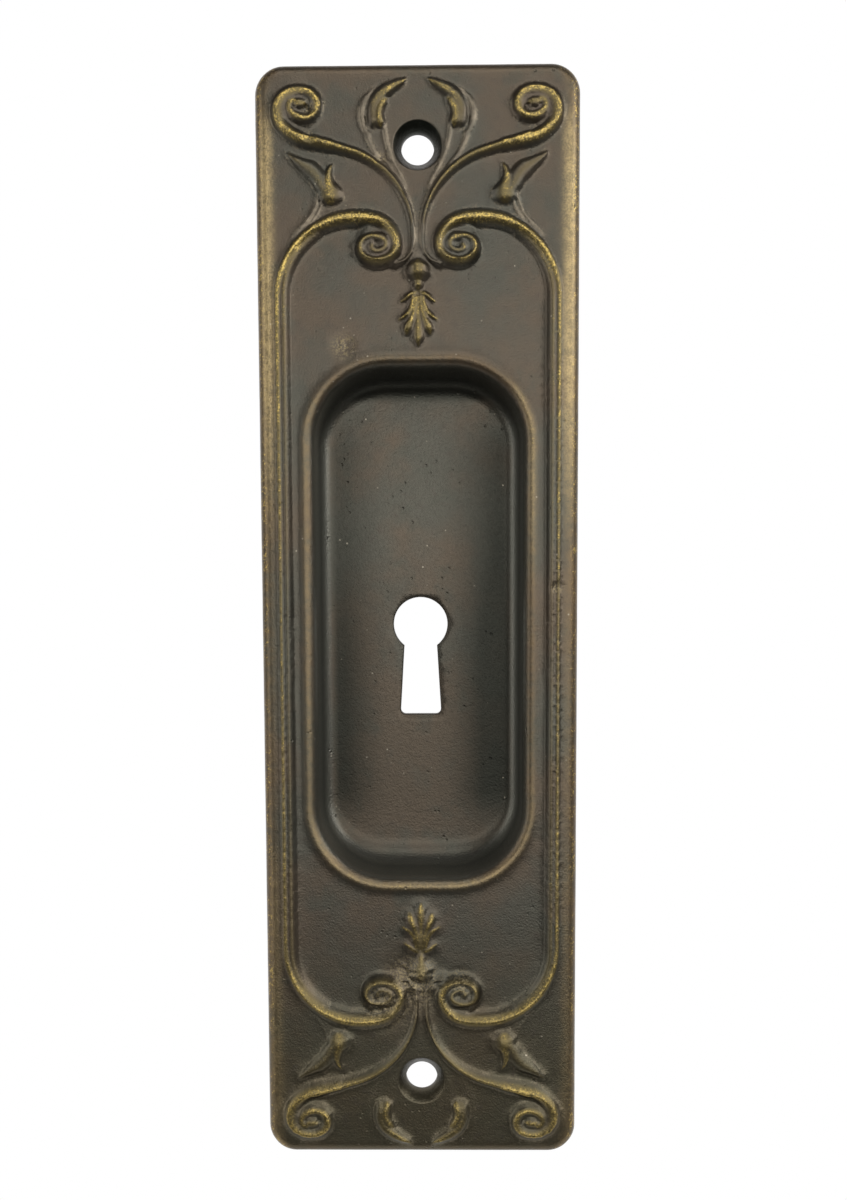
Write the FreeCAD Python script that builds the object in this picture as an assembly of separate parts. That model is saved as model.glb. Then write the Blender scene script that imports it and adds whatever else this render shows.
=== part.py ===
import FreeCAD, Part
import math
import os
from FreeCAD import Vector

# Pocket door pull: one bronze casting, let into the face of a sliding door.
# Millimetres. X runs across the plate, Z up, and the face that shows looks along -Y.
# The origin is midway between the two screws, on the plane where the rim seats on the door.

# Plate
PLATE_WIDTH = 55.5
PLATE_HEIGHT = 191.0
PLATE_THICKNESS = 3.5
PLATE_CORNER_RADIUS = 5.0
EDGE_ROUNDING = 2.0

# Hollow back: the casting is thinned behind its face, inside a rim, with a boss for each screw
RIM_WIDTH = 2.6
HOLLOW_DEPTH = 1.3
HOLLOW_CORNER_RADIUS = 2.4
BOSS_RADIUS = 6.5

# Countersunk screw holes
SCREW_TO_END = 13.8
SCREW_HOLE_RADIUS = 2.8
COUNTERSINK_RADIUS = 4.05
COUNTERSINK_ANGLE = 82.0

# Sunk panel inside the bead, and the ground that stays up under the volutes and between them
PANEL_DEPTH = 0.65
PANEL_INSET = 0.95
VOLUTE_GROUND_RADIUS = 3.7
VOLUTE_GROUND_X = 6.85
VOLUTE_GROUND_Z = 66.3
BRIDGE_HALF_WIDTH = 3.4
BRIDGE_BOTTOM = 63.6

# Finger cup
CUP_TO_SIDE = 8.85
CUP_TO_END = 50.0
CUP_CORNER_RADIUS = 13.4
CUP_DEPTH = 11.0
CUP_DRAFT = 1.0
CUP_FLOOR_FILLET = 3.4
CUP_WALL = 2.0
CUP_OUTER_FILLET = 4.0
LIP_WIDTH = 1.8
LIP_HEIGHT = 0.55
LIP_TOP_START = 0.3
LIP_TOP_WIDTH = 0.4

# Keyhole in the cup floor
KEYHOLE_RADIUS = 4.95
KEYHOLE_SHOULDER_Z = -4.05
KEYHOLE_SHOULDER_HALF_WIDTH = 3.0
KEYHOLE_FOOT_Z = -16.7
KEYHOLE_FOOT_HALF_WIDTH = 3.7
KEYHOLE_FOOT_ROUNDING = 0.9

# Ornament of the upper left quarter, seen from the front, as drawn for a plate of the size below.
# A scroll is a chain of tangent runs: (radius, turn in degrees, left is plus) or (None, length).
DRAWN_PLATE_WIDTH = 56.1
DRAWN_PLATE_END = 96.53
BOTTOM_ORNAMENT_SHIFT = 0.9
ORNAMENT_ROOT = 0.9
FLANK_SPREAD = 0.4

BEAD_X = 24.5
ARCH_SPRING_Z = 57.0
ARCH_RADIUS = 14.0
BEAD_WIDTH = 1.5
BEAD_HEIGHT = 0.7
VOLUTE_RUNS = ((11.0, -30), (3.2, -150), (4.5, -40), (1.6, -50), (2.2, -90), (3.2, -35))
# Sections: after how many runs, width, height
VOLUTE_SECTIONS = ((0, BEAD_WIDTH, BEAD_HEIGHT), (2, 1.9, 1.2), (4, 1.8, 1.1), (6, 1.4, 0.8))
VOLUTE_EYE = (-6.9, 66.3)

STEM_START = (-4.3, 62.7)
STEM_HEADING = 8.0
STEM_RUNS = ((6.0, 17), (3.0, 60), (20.0, 10), (14.0, 35), (15.5, 33), (None, 10.2), (4.0, -74), (3.7, -90),
             (3.4, -90), (1.6, -75), (5.0, -40))
STEM_SECTIONS = ((0, 0.7, 0.4), (3, 1.3, 0.9), (6, 2.5, 1.2), (8, 2.1, 1.2), (11, 1.4, 0.8))
STEM_EYE = (-20.7, 88.8)

EYE_RADIUS = 1.3
EYE_HEIGHT = 0.9
KNOB_SIDE_COUNT = 10
# Levels of a knob: share of its radius, share of its height; the first lies inside the metal
KNOB_LEVELS = ((1.0, -0.3), (0.8, 0.7), (0.4, 1.0))

# Thin tendril from the stem to the bud beside the screw, and from the arch to the bud below the stem
TENDRIL_START = (-7.9, 85.2)
TENDRIL_HEADING = -58.0
TENDRIL_RUNS = ((None, 9.0), (14.0, -20))
TENDRIL_SECTIONS = ((0, 1.9, 0.5), (1, 1.0, 0.5), (2, 0.6, 0.3))
SHOOT_START = (-17.0, 74.6)
SHOOT_HEADING = -90.0
SHOOT_RUNS = ((7.0, -45), (None, 1.6))
SHOOT_SECTIONS = ((0, 0.9, 0.6), (2, 1.6, 0.6))

# Buds, as arcs: each pair is a point that the arc passes through and the point where it ends
UPPER_BUD_START = (-2.2, 93.3)
UPPER_BUD_ARCS = (((-5.5, 92.2), (-8.6, 90.4)), ((-9.9, 88.3), (-9.2, 85.7)), ((-7.5, 84.9), (-5.9, 85.8)),
                  ((-5.8, 88.0), (-5.0, 90.0)), ((-3.4, 91.2), UPPER_BUD_START))
UPPER_BUD_CENTRE = (-7.4, 88.6)
LOWER_BUD_START = (-22.5, 81.2)
LOWER_BUD_ARCS = (((-20.0, 79.9), (-17.4, 79.5)), ((-16.6, 78.6), (-16.2, 77.6)), ((-15.8, 78.9), (-14.9, 79.6)),
                  ((-14.8, 77.4), (-13.6, 75.3)), ((-14.7, 73.0), (-17.0, 73.9)), ((-17.2, 75.4), (-18.3, 76.6)),
                  ((-20.6, 78.3), LOWER_BUD_START))
LOWER_BUD_CENTRE = (-16.0, 75.8)
BUD_HEIGHT = 1.3
BUD_LEVELS = ((1.0, -0.2), (0.85, 0.6), (0.4, 1.0))
CHORD_COUNT = 2

# Drop below the meeting of the stems: a ball on a neck, a small ball and a husk of leaves
BALL_Z = 61.9
BALL_RADIUS = 1.6
NECK_LENGTH = 5.0
NECK_TOP_WIDTH = 0.8
SMALL_BALL_Z = 59.4
SMALL_BALL_RADIUS = 0.85
LEAF_TOP_SHARE = 0.3
# Outline of a leaf: share of its length from the root, share of its width from the middle
LEAF_OUTLINE = ((0.0, 0.0), (0.25, 0.4), (0.6, 0.5), (1.0, 0.0), (0.6, -0.5), (0.25, -0.4))
# Leaves on the left: root, tip, width, height
HUSK_LEAVES = (((-0.7, 57.9), (-3.0, 56.1), 1.0, 0.7), ((-0.6, 57.2), (-3.5, 52.8), 1.3, 0.8),
               ((-0.4, 55.6), (-2.5, 50.9), 1.5, 0.9))
MIDDLE_LEAF = ((0.0, 58.6), (0.0, 48.6), 2.0, 1.1)

# Planes and places that follow from the sizes above
FIELD_Y = -PLATE_THICKNESS
PANEL_Y = FIELD_Y + PANEL_DEPTH
CUP_FLOOR_Y = PANEL_Y + CUP_DEPTH
CUP_BACK_Y = CUP_FLOOR_Y + CUP_WALL
CUP_HALF_WIDTH = PLATE_WIDTH / 2 - CUP_TO_SIDE
CUP_HALF_HEIGHT = PLATE_HEIGHT / 2 - CUP_TO_END
SCREW_Z = PLATE_HEIGHT / 2 - SCREW_TO_END
DRAWING_SCALE = PLATE_WIDTH / DRAWN_PLATE_WIDTH
BOTTOM_SHIFT = BOTTOM_ORNAMENT_SHIFT * DRAWING_SCALE
OVERCUT = 2.0
MERGE = 0.2


def on_plate(point):
    """A point of the drawn ornament, fitted to this plate: from its centre line and its upper end."""
    x, z = point
    return x * DRAWING_SCALE, PLATE_HEIGHT / 2 - (DRAWN_PLATE_END - z) * DRAWING_SCALE


def rounded_rectangle(half_width, low, high, radius, y):
    """Closed wire in the plane at y, with a quarter circle at each corner."""
    corners = ((half_width, high, 0), (-half_width, high, 90), (-half_width, low, 180), (half_width, low, 270))
    edges = []
    ends = []
    for x, z, start in corners:
        centre_x = x - math.copysign(radius, x)
        centre_z = z - math.copysign(radius, z)
        points = []
        for angle in (start, start + 45, start + 90):
            turn = math.radians(angle)
            points.append(Vector(centre_x + radius * math.cos(turn), y, centre_z + radius * math.sin(turn)))
        edges.append(Part.Arc(*points).toShape())
        ends.append((points[0], points[-1]))
    for index in range(len(ends)):
        finish = ends[index][1]
        begin = ends[(index + 1) % len(ends)][0]
        edges.insert(2 * index + 1, Part.LineSegment(finish, begin).toShape())
    return Part.Wire(edges)


def prism(wire, y_end):
    """Solid from a flat wire to the plane at y_end."""
    y_start = wire.BoundBox.YMin
    return Part.Face(wire).extrude(Vector(0, y_end - y_start, 0))


def disc(x, z, radius, y_start, y_end):
    return Part.makeCylinder(radius, y_end - y_start, Vector(x, y_start, z), Vector(0, 1, 0))


def edges_in_plane(solid, y):
    """Edges that lie flat in the plane at y."""
    found = []
    for edge in solid.Edges:
        box = edge.BoundBox
        if abs(box.YMin - y) < 1e-4 and abs(box.YMax - y) < 1e-4:
            found.append(edge)
    return found


def both_sides(solids):
    """The solids and their mirror images about the centre line."""
    mirrored = [solid.mirror(Vector(0, 0, 0), Vector(1, 0, 0)) for solid in solids]
    return solids + mirrored


def plate():
    """Rounded rectangle with a quarter-round front edge."""
    half_height = PLATE_HEIGHT / 2
    outline = rounded_rectangle(PLATE_WIDTH / 2, -half_height, half_height, PLATE_CORNER_RADIUS, 0)
    body = prism(outline, FIELD_Y)
    return body.makeFillet(EDGE_ROUNDING, edges_in_plane(body, FIELD_Y))


def sunk_panel():
    """Tool that sinks the panel, leaving the ground of the volutes and of the bridge between them."""
    side_x, arch_top = on_plate((BEAD_X, ARCH_SPRING_Z + ARCH_RADIUS))
    top = arch_top - PANEL_INSET
    radius = ARCH_RADIUS * DRAWING_SCALE - PANEL_INSET
    outline = rounded_rectangle(side_x - PANEL_INSET, -top - BOTTOM_SHIFT, top, radius, PANEL_Y)
    tool = prism(outline, FIELD_Y - OVERCUT)
    low_y = FIELD_Y - 2 * OVERCUT
    ground_x, ground_z = on_plate((VOLUTE_GROUND_X, VOLUTE_GROUND_Z))
    bridge_x, bridge_z = on_plate((BRIDGE_HALF_WIDTH, BRIDGE_BOTTOM))
    for side, shift in ((1, 0), (-1, BOTTOM_SHIFT)):
        for x in (-ground_x, ground_x):
            tool = tool.cut(disc(x, side * (ground_z + shift), VOLUTE_GROUND_RADIUS * DRAWING_SCALE, low_y, OVERCUT))
        bridge = Part.makeBox(2 * bridge_x, OVERCUT - low_y, PLATE_HEIGHT)
        start_z = bridge_z + shift if side > 0 else -bridge_z - shift - PLATE_HEIGHT
        bridge.translate(Vector(-bridge_x, low_y, start_z))
        tool = tool.cut(bridge)
    return max(tool.Solids, key=lambda solid: solid.Volume)


def keyhole():
    """Round hole over a slot that widens towards its foot, cut through the cup floor."""
    start_y = CUP_FLOOR_Y - OVERCUT
    end_y = CUP_BACK_Y + OVERCUT
    shoulder = KEYHOLE_SHOULDER_HALF_WIDTH
    foot = KEYHOLE_FOOT_HALF_WIDTH
    corners = ((-shoulder, 0), (-shoulder, KEYHOLE_SHOULDER_Z), (-foot, KEYHOLE_FOOT_Z),
               (foot, KEYHOLE_FOOT_Z), (shoulder, KEYHOLE_SHOULDER_Z), (shoulder, 0))
    points = [Vector(x, start_y, z) for x, z in corners]
    slot = prism(Part.makePolygon(points + points[:1]), end_y)
    foot_edges = [edge for edge in slot.Edges
                  if edge.BoundBox.ZMax < KEYHOLE_FOOT_Z + 0.01 and edge.BoundBox.XLength < 0.01]
    slot = slot.makeFillet(KEYHOLE_FOOT_ROUNDING, foot_edges)
    return slot.fuse(disc(0, 0, KEYHOLE_RADIUS, start_y, end_y))


def corner_arc(corner, along_wall, radius):
    """Fillet between a drafted wall and a level floor that runs towards -u from the corner."""
    opening = math.acos(-along_wall[0])
    reach = radius / math.tan(opening / 2)
    on_wall = (corner[0] + along_wall[0] * reach, corner[1] + along_wall[1] * reach)
    on_floor = (corner[0] - reach, corner[1])
    towards = (along_wall[0] - 1, along_wall[1])
    length = math.hypot(*towards)
    bulge = radius / math.sin(opening / 2) - radius
    middle = (corner[0] + towards[0] / length * bulge, corner[1] + towards[1] / length * bulge)
    return on_wall, middle, on_floor


def cup_section():
    """Section of the cup wall: u runs outwards from the mouth, v is the depth plane."""
    run = math.hypot(CUP_DRAFT, CUP_DEPTH)
    up_wall = (CUP_DRAFT / run, -CUP_DEPTH / run)
    inner = corner_arc((-CUP_DRAFT, CUP_FLOOR_Y), up_wall, CUP_FLOOR_FILLET)
    outer = corner_arc((CUP_WALL - CUP_DRAFT, CUP_BACK_Y), up_wall, CUP_OUTER_FILLET)
    floor_u = min(inner[2][0], outer[2][0]) - CUP_WALL
    lip_y = PANEL_Y - LIP_HEIGHT
    lip = ((LIP_WIDTH, PANEL_Y), (LIP_TOP_START + LIP_TOP_WIDTH, lip_y), (LIP_TOP_START, lip_y), (0, PANEL_Y))
    return lip, inner, ((floor_u, CUP_FLOOR_Y), (floor_u, CUP_BACK_Y)), outer


def cup():
    """Cup wall and rolled lip swept round the mouth, closed by the floor."""
    lip, inner, floor, outer = cup_section()

    def place(point):
        return Vector(CUP_HALF_WIDTH + point[0], point[1], 0)

    def line(begin, end):
        return Part.LineSegment(place(begin), place(end)).toShape()

    root = ((CUP_WALL, PANEL_Y + MERGE), (LIP_WIDTH, PANEL_Y + MERGE))
    section = Part.Wire([line(lip[0], lip[1]), line(lip[1], lip[2]), line(lip[2], lip[3]),
                         line(lip[3], inner[0]), line(inner[0], inner[1]), line(inner[1], inner[2]),
                         line(inner[2], floor[0]),
                         line(floor[0], floor[1]), line(floor[1], outer[2]), line(outer[2], outer[0]),
                         line(outer[0], root[0]), line(root[0], root[1]), line(root[1], lip[0])])
    mouth = rounded_rectangle(CUP_HALF_WIDTH, -CUP_HALF_HEIGHT, CUP_HALF_HEIGHT, CUP_CORNER_RADIUS, 0)
    sweep = Part.BRepOffsetAPI.MakePipeShell(mouth)
    sweep.setBiNormalMode(Vector(0, 1, 0))
    sweep.add(section, False, False)
    sweep.build()
    sweep.makeSolid()
    inset = -floor[0][0] - CUP_WALL / 2
    slab = prism(rounded_rectangle(CUP_HALF_WIDTH - inset, -CUP_HALF_HEIGHT + inset, CUP_HALF_HEIGHT - inset,
                                   CUP_CORNER_RADIUS - inset, CUP_FLOOR_Y), CUP_BACK_Y)
    return sweep.shape().fuse(slab).cut(keyhole())


def hollow_back():
    """Tool that thins the plate from behind, inside the rim and round the screw bosses."""
    inset = RIM_WIDTH
    half_height = PLATE_HEIGHT / 2 - inset
    outline = rounded_rectangle(PLATE_WIDTH / 2 - inset, -half_height, half_height, HOLLOW_CORNER_RADIUS,
                                -HOLLOW_DEPTH)
    tool = prism(outline, OVERCUT)
    for side in (-1, 1):
        boss = disc(0, side * SCREW_Z, BOSS_RADIUS, -2 * OVERCUT, 2 * OVERCUT)
        tool = tool.cut(boss)
    return tool


def screw_holes():
    """Countersunk holes, from the front."""
    tools = []
    cone_depth = (COUNTERSINK_RADIUS - SCREW_HOLE_RADIUS) / math.tan(math.radians(COUNTERSINK_ANGLE / 2))
    for side in (-1, 1):
        z = side * SCREW_Z
        tools.append(disc(0, z, SCREW_HOLE_RADIUS, FIELD_Y - OVERCUT, OVERCUT))
        tools.append(disc(0, z, COUNTERSINK_RADIUS, FIELD_Y - OVERCUT, FIELD_Y))
        tools.append(Part.makeCone(COUNTERSINK_RADIUS, SCREW_HOLE_RADIUS, cone_depth,
                                   Vector(0, FIELD_Y, z), Vector(0, 1, 0)))
    return tools


def scroll_path(start, heading, runs):
    """Tangent arcs and lines in the face plane: their edges, and place and heading after each run."""
    x, z = start
    angle = math.radians(heading)
    edges = []
    stations = [(Vector(x, FIELD_Y, z), angle)]
    for drawn_radius, amount in runs:
        begin = Vector(x, FIELD_Y, z)
        if drawn_radius is None:
            x += amount * DRAWING_SCALE * math.cos(angle)
            z += amount * DRAWING_SCALE * math.sin(angle)
            edges.append(Part.LineSegment(begin, Vector(x, FIELD_Y, z)).toShape())
        else:
            radius = drawn_radius * DRAWING_SCALE
            side = math.copysign(1, amount)
            turn = math.radians(amount)
            centre_x = x - side * radius * math.sin(angle)
            centre_z = z + side * radius * math.cos(angle)
            points = [begin]
            for share in (0.5, 1.0):
                bearing = angle + turn * share
                x = centre_x + side * radius * math.sin(bearing)
                z = centre_z - side * radius * math.cos(bearing)
                points.append(Vector(x, FIELD_Y, z))
            edges.append(Part.Arc(*points).toShape())
            angle += turn
        stations.append((Vector(x, FIELD_Y, z), angle))
    return edges, stations


def ridge_section(place, heading, width, height):
    """Section of a ridge: a sharp crest and two flanks that run down into the metal."""
    across = Vector(-math.sin(heading), 0, math.cos(heading))
    foot = width / 2 * DRAWING_SCALE + FLANK_SPREAD * ORNAMENT_ROOT
    profile = ((foot, ORNAMENT_ROOT), (0, -height), (-foot, ORNAMENT_ROOT))
    points = [place + across * offset + Vector(0, rise, 0) for offset, rise in profile]
    return Part.makePolygon(points + points[:1])


def ridge(start, heading, runs, sections):
    """Tapering ridge swept along a chain of tangent runs."""
    edges, stations = scroll_path(on_plate(start), heading, runs)
    sweep = Part.BRepOffsetAPI.MakePipeShell(Part.Wire(edges))
    sweep.setBiNormalMode(Vector(0, 1, 0))
    for count, width, height in sections:
        place, bearing = stations[count]
        sweep.add(ridge_section(place, bearing, width, height), False, False)
    sweep.build()
    sweep.makeSolid()
    return sweep.shape()


def faceted_solid(outlines, levels):
    """Solid with flat facets between outlines of equal point count, one at each level plane."""
    rings = [[Vector(x, y, z) for x, z in outline] for outline, y in zip(outlines, levels)]
    faces = [Part.Face(Part.makePolygon(ring + ring[:1])) for ring in (rings[0], rings[-1])]
    for lower, upper in zip(rings, rings[1:]):
        for index in range(len(lower)):
            following = (index + 1) % len(lower)
            corners = [lower[index], lower[following], upper[following], upper[index]]
            faces.append(Part.Face(Part.makePolygon(corners + corners[:1])))
    solid = Part.Solid(Part.makeShell(faces))
    return solid if solid.Volume > 0 else solid.reversed()


def drawn_in(outline, centre, share):
    """The outline scaled towards its centre."""
    return [(centre[0] + (x - centre[0]) * share, centre[1] + (z - centre[1]) * share) for x, z in outline]


def bud(start, arcs, centre):
    """Blunt bud over an outline of arcs, each taken as a few chords."""
    outline = []
    begin = start
    for middle, end in arcs:
        arc = Part.Arc(*[Vector(x, 0, z) for x, z in (begin, middle, end)])
        outline += [on_plate((point.x, point.z)) for point in arc.discretize(CHORD_COUNT + 1)[:-1]]
        begin = end
    outlines = [drawn_in(outline, on_plate(centre), share) for share, rise in BUD_LEVELS]
    return faceted_solid(outlines, [FIELD_Y - BUD_HEIGHT * rise for share, rise in BUD_LEVELS])


def knob(centre, ground_y, drawn_radius, height):
    """Small dome with flat facets."""
    x, z = on_plate(centre)
    radius = drawn_radius * DRAWING_SCALE
    angles = [2 * math.pi * index / KNOB_SIDE_COUNT for index in range(KNOB_SIDE_COUNT)]
    outline = [(x + radius * math.cos(angle), z + radius * math.sin(angle)) for angle in angles]
    outlines = [drawn_in(outline, (x, z), share) for share, rise in KNOB_LEVELS]
    return faceted_solid(outlines, [ground_y - height * rise for share, rise in KNOB_LEVELS])


def leaf(root, tip, width, height, mirror=1):
    """Pointed leaf with a bevelled top."""
    root_x, root_z = on_plate((root[0] * mirror, root[1]))
    tip_x, tip_z = on_plate((tip[0] * mirror, tip[1]))
    run_x = tip_x - root_x
    run_z = tip_z - root_z
    aside = width * DRAWING_SCALE / math.hypot(run_x, run_z)
    outline = [(root_x + run_x * along - run_z * half * aside, root_z + run_z * along + run_x * half * aside)
               for along, half in LEAF_OUTLINE]
    centre = (root_x + run_x / 2, root_z + run_z / 2)
    outlines = [outline, drawn_in(outline, centre, LEAF_TOP_SHARE)]
    return faceted_solid(outlines, (PANEL_Y + MERGE, PANEL_Y - height))


def drop():
    """Neck, ball, small ball and husk, standing on the panel."""
    neck_sections = ((0, BALL_RADIUS, PANEL_DEPTH), (1, NECK_TOP_WIDTH, NECK_TOP_WIDTH))
    solids = [
        knob((0, BALL_Z), PANEL_Y, BALL_RADIUS, BALL_RADIUS),
        knob((0, SMALL_BALL_Z), PANEL_Y, SMALL_BALL_RADIUS, SMALL_BALL_RADIUS),
        ridge((0, BALL_Z), 90, ((None, NECK_LENGTH),), neck_sections),
        leaf(*MIDDLE_LEAF),
    ]
    for side in (-1, 1):
        for root, tip, width, height in HUSK_LEAVES:
            solids.append(leaf(root, tip, width, height, side))
    return solids


def quarter(shift):
    """Bead, scrolls, tendrils and buds of the upper left quarter; shift moves all but the bead's start."""
    spring_z = on_plate((0, ARCH_SPRING_Z))[1]
    side_runs = ((None, (spring_z + shift) / DRAWING_SCALE), (ARCH_RADIUS, -90))
    middle_z = DRAWN_PLATE_END - PLATE_HEIGHT / 2 / DRAWING_SCALE
    bead = ridge((-BEAD_X, middle_z), 90, side_runs, ((0, BEAD_WIDTH, BEAD_HEIGHT),))
    moved = [
        ridge((ARCH_RADIUS - BEAD_X, ARCH_SPRING_Z + ARCH_RADIUS), 0, VOLUTE_RUNS, VOLUTE_SECTIONS),
        ridge(STEM_START, STEM_HEADING, STEM_RUNS, STEM_SECTIONS),
        ridge(TENDRIL_START, TENDRIL_HEADING, TENDRIL_RUNS, TENDRIL_SECTIONS),
        ridge(SHOOT_START, SHOOT_HEADING, SHOOT_RUNS, SHOOT_SECTIONS),
        bud(UPPER_BUD_START, UPPER_BUD_ARCS, UPPER_BUD_CENTRE),
        bud(LOWER_BUD_START, LOWER_BUD_ARCS, LOWER_BUD_CENTRE),
        knob(VOLUTE_EYE, FIELD_Y, EYE_RADIUS, EYE_HEIGHT),
        knob(STEM_EYE, FIELD_Y, EYE_RADIUS, EYE_HEIGHT),
    ]
    for solid in moved:
        solid.translate(Vector(0, 0, shift))
    return [bead] + moved


def ornament():
    """All four quarters and both drops; the lower half lies a little further out than the upper."""
    upper = both_sides(quarter(0)) + drop()
    lower_drop = drop()
    for solid in lower_drop:
        solid.translate(Vector(0, 0, BOTTOM_SHIFT))
    lower = both_sides(quarter(BOTTOM_SHIFT)) + lower_drop
    return upper + [solid.mirror(Vector(0, 0, 0), Vector(0, 0, 1)) for solid in lower]


def cast_pull():
    """The whole casting."""
    body = plate()
    body = body.cut(sunk_panel())
    body = body.cut(hollow_back())
    mouth = rounded_rectangle(CUP_HALF_WIDTH, -CUP_HALF_HEIGHT, CUP_HALF_HEIGHT, CUP_CORNER_RADIUS, OVERCUT)
    body = body.cut(prism(mouth, FIELD_Y - OVERCUT))
    body = body.fuse(cup())
    body = body.multiFuse(ornament())
    body = body.cut(screw_holes())
    return body


os.makedirs("parts", exist_ok=True)
casting = cast_pull()
casting.exportStep("parts/cast_pull.step")
print("cast_pull", casting.ShapeType, len(casting.Solids), "solid", casting.isValid(), round(casting.Volume), "mm3")
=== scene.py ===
import math

import bpy
import numpy as np
from mathutils.geometry import delaunay_2d_cdt
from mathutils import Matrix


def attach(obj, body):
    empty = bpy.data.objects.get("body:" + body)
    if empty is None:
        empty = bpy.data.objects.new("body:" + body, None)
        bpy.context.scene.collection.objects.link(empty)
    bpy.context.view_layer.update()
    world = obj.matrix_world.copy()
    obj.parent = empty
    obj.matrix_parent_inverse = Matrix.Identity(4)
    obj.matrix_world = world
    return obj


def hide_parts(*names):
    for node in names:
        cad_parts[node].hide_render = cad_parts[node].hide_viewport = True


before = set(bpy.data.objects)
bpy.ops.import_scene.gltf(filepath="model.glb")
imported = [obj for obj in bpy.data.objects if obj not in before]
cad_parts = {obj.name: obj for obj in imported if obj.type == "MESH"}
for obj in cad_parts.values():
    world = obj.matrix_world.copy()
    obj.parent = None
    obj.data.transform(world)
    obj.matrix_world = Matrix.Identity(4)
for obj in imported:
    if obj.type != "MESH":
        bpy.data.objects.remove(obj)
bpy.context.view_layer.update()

# The pull is one bronze casting: plate, ornament, finger cup and holes all came out of one sand mould.
# It is drawn here face on, in millimetres: x across, y up the plate, z the rise towards the eye from
# the flat of the plate's border. The plate is a rounded rectangle with a quarter-round front edge.
PLATE_HALF_WIDTH = 27.75
PLATE_HALF_HEIGHT = 95.5
PLATE_CORNER_RADIUS = 5.0
# A rounded rectangle is given as its half width, top, foot and corner radius
PLATE = (PLATE_HALF_WIDTH, PLATE_HALF_HEIGHT, -PLATE_HALF_HEIGHT, PLATE_CORNER_RADIUS)
PLATE_THICKNESS = 3.5
EDGE_ROUNDING = 2.1
EDGE_ROWS = 8
BACK_BEVEL = 0.2
PLATE_STEPS = (230, 60, 12)

points = []
faces = []


def rounded_rectangle(half_width, high, low, radius, steps):
    """Points anticlockwise round the outline, and the direction straight out of it at each.
    Steps are the counts along a long side, along an end and round a corner."""
    side_steps, end_steps, corner_steps = steps
    corners = ((1, high, 0), (-1, high, 90), (-1, low, 180), (1, low, 270))
    centres = [np.array((side * (half_width - radius), end - math.copysign(radius, end)))
               for side, end, _ in corners]
    places, outwards = [], []
    for index, (_, _, start) in enumerate(corners):
        turn = np.radians(start + 90 * np.arange(corner_steps) / corner_steps)
        away = np.column_stack((np.cos(turn), np.sin(turn)))
        straight = np.array((math.cos(math.radians(start + 90)), math.sin(math.radians(start + 90))))
        run_steps = side_steps if index % 2 else end_steps
        begin = centres[index] + radius * straight
        finish = centres[(index + 1) % 4] + radius * straight
        share = (np.arange(run_steps) / run_steps)[:, None]
        places += [centres[index] + radius * away, begin + (finish - begin) * share]
        outwards += [away, np.tile(straight, (run_steps, 1))]
    return np.vstack(places), np.vstack(outwards)


def depth_inside(spots, half_width, high, low, radius):
    """Distance from each spot to the rounded rectangle's outline, plus inside it."""
    middle = np.array((0, (high + low) / 2))
    corner = np.array((half_width - radius, (high - low) / 2 - radius))
    beyond = np.abs(spots - middle) - corner
    outer = np.hypot(*np.maximum(beyond, 0).T)
    return radius - outer - np.minimum(beyond.max(axis=1), 0)


def add_points(spots, rise):
    """Adds points at a rise, one for all or one each, and returns their numbers."""
    start = len(points)
    rises = np.broadcast_to(rise, len(spots))
    points.extend((x, y, z) for (x, y), z in zip(spots, rises))
    return list(range(start, len(points)))


def add_bands(*loops):
    """Faces from each loop to the next, of equal count. They look inwards where the next lies deeper."""
    for first, second in zip(loops, loops[1:]):
        for index in range(len(first)):
            following = (index + 1) % len(first)
            faces.append((first[index], first[following], second[following], second[index]))


plate_outline, plate_outward = rounded_rectangle(*PLATE, PLATE_STEPS)
plate_front = add_points(plate_outline, -EDGE_ROUNDING)
plate_rear = add_points(plate_outline, BACK_BEVEL - PLATE_THICKNESS)
rim_outer = add_points(plate_outline - plate_outward * BACK_BEVEL, -PLATE_THICKNESS)
add_bands(plate_rear, plate_front)
add_bands(rim_outer, plate_rear)

# Sunk panel: the ground inside the bead lies lower than the border, and a hollow slope runs down to it.
# The ground stays up under the two volutes at each end and in the bridge between them.
PANEL_DEPTH = 0.65
PANEL = (23.1, 69.25, -70.15, 12.75)
SLOPE_WIDTH = 1.1
GROUND_RADIUS = 3.0
GROUND_CENTRE = (6.63, 65.7)
BRIDGE_HALF_WIDTH = 3.6
BRIDGE_START = 63.9
LOWER_SHIFT = 0.9


def smooth(value, low=0.0, high=1.0):
    """Eased step from 0 at low to 1 at high."""
    share = np.clip((value - low) / (high - low), 0, 1)
    return share * share * (3 - 2 * share)


def panel_depth_inside(spots):
    """Distance into the sunk panel from its edge."""
    upright = np.where(spots[:, 1] > 0, spots[:, 1], -spots[:, 1] - LOWER_SHIFT)
    beside = np.abs(spots[:, 0])
    from_ground = np.hypot(beside - GROUND_CENTRE[0], upright - GROUND_CENTRE[1]) - GROUND_RADIUS
    from_bridge = np.maximum(beside - BRIDGE_HALF_WIDTH, BRIDGE_START - upright)
    return np.minimum(np.minimum(depth_inside(spots, *PANEL), from_ground), from_bridge)


# Finger cup: deep enough for two fingertips to draw the door out. Its mouth has a low lip that rolls
# over into walls drafted for the mould, the ends more than the sides; a wide fillet meets the floor.
CUP_HALF_WIDTH = 18.9
CUP_HALF_HEIGHT = 45.5
CUP = (CUP_HALF_WIDTH, CUP_HALF_HEIGHT, -CUP_HALF_HEIGHT, 13.4)
CUP_STEPS = (96, 20, 30)
CUP_FLOOR = -11.65
CUP_BACK = -13.65
LIP_CREST = 1.0
LIP_HEIGHT = 0.32
LIP_FLANK = 1.5
ROLL_WIDTH = 1.8
ROLL_DEPTH = 2.2
ROLL_ROWS = 6
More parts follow.
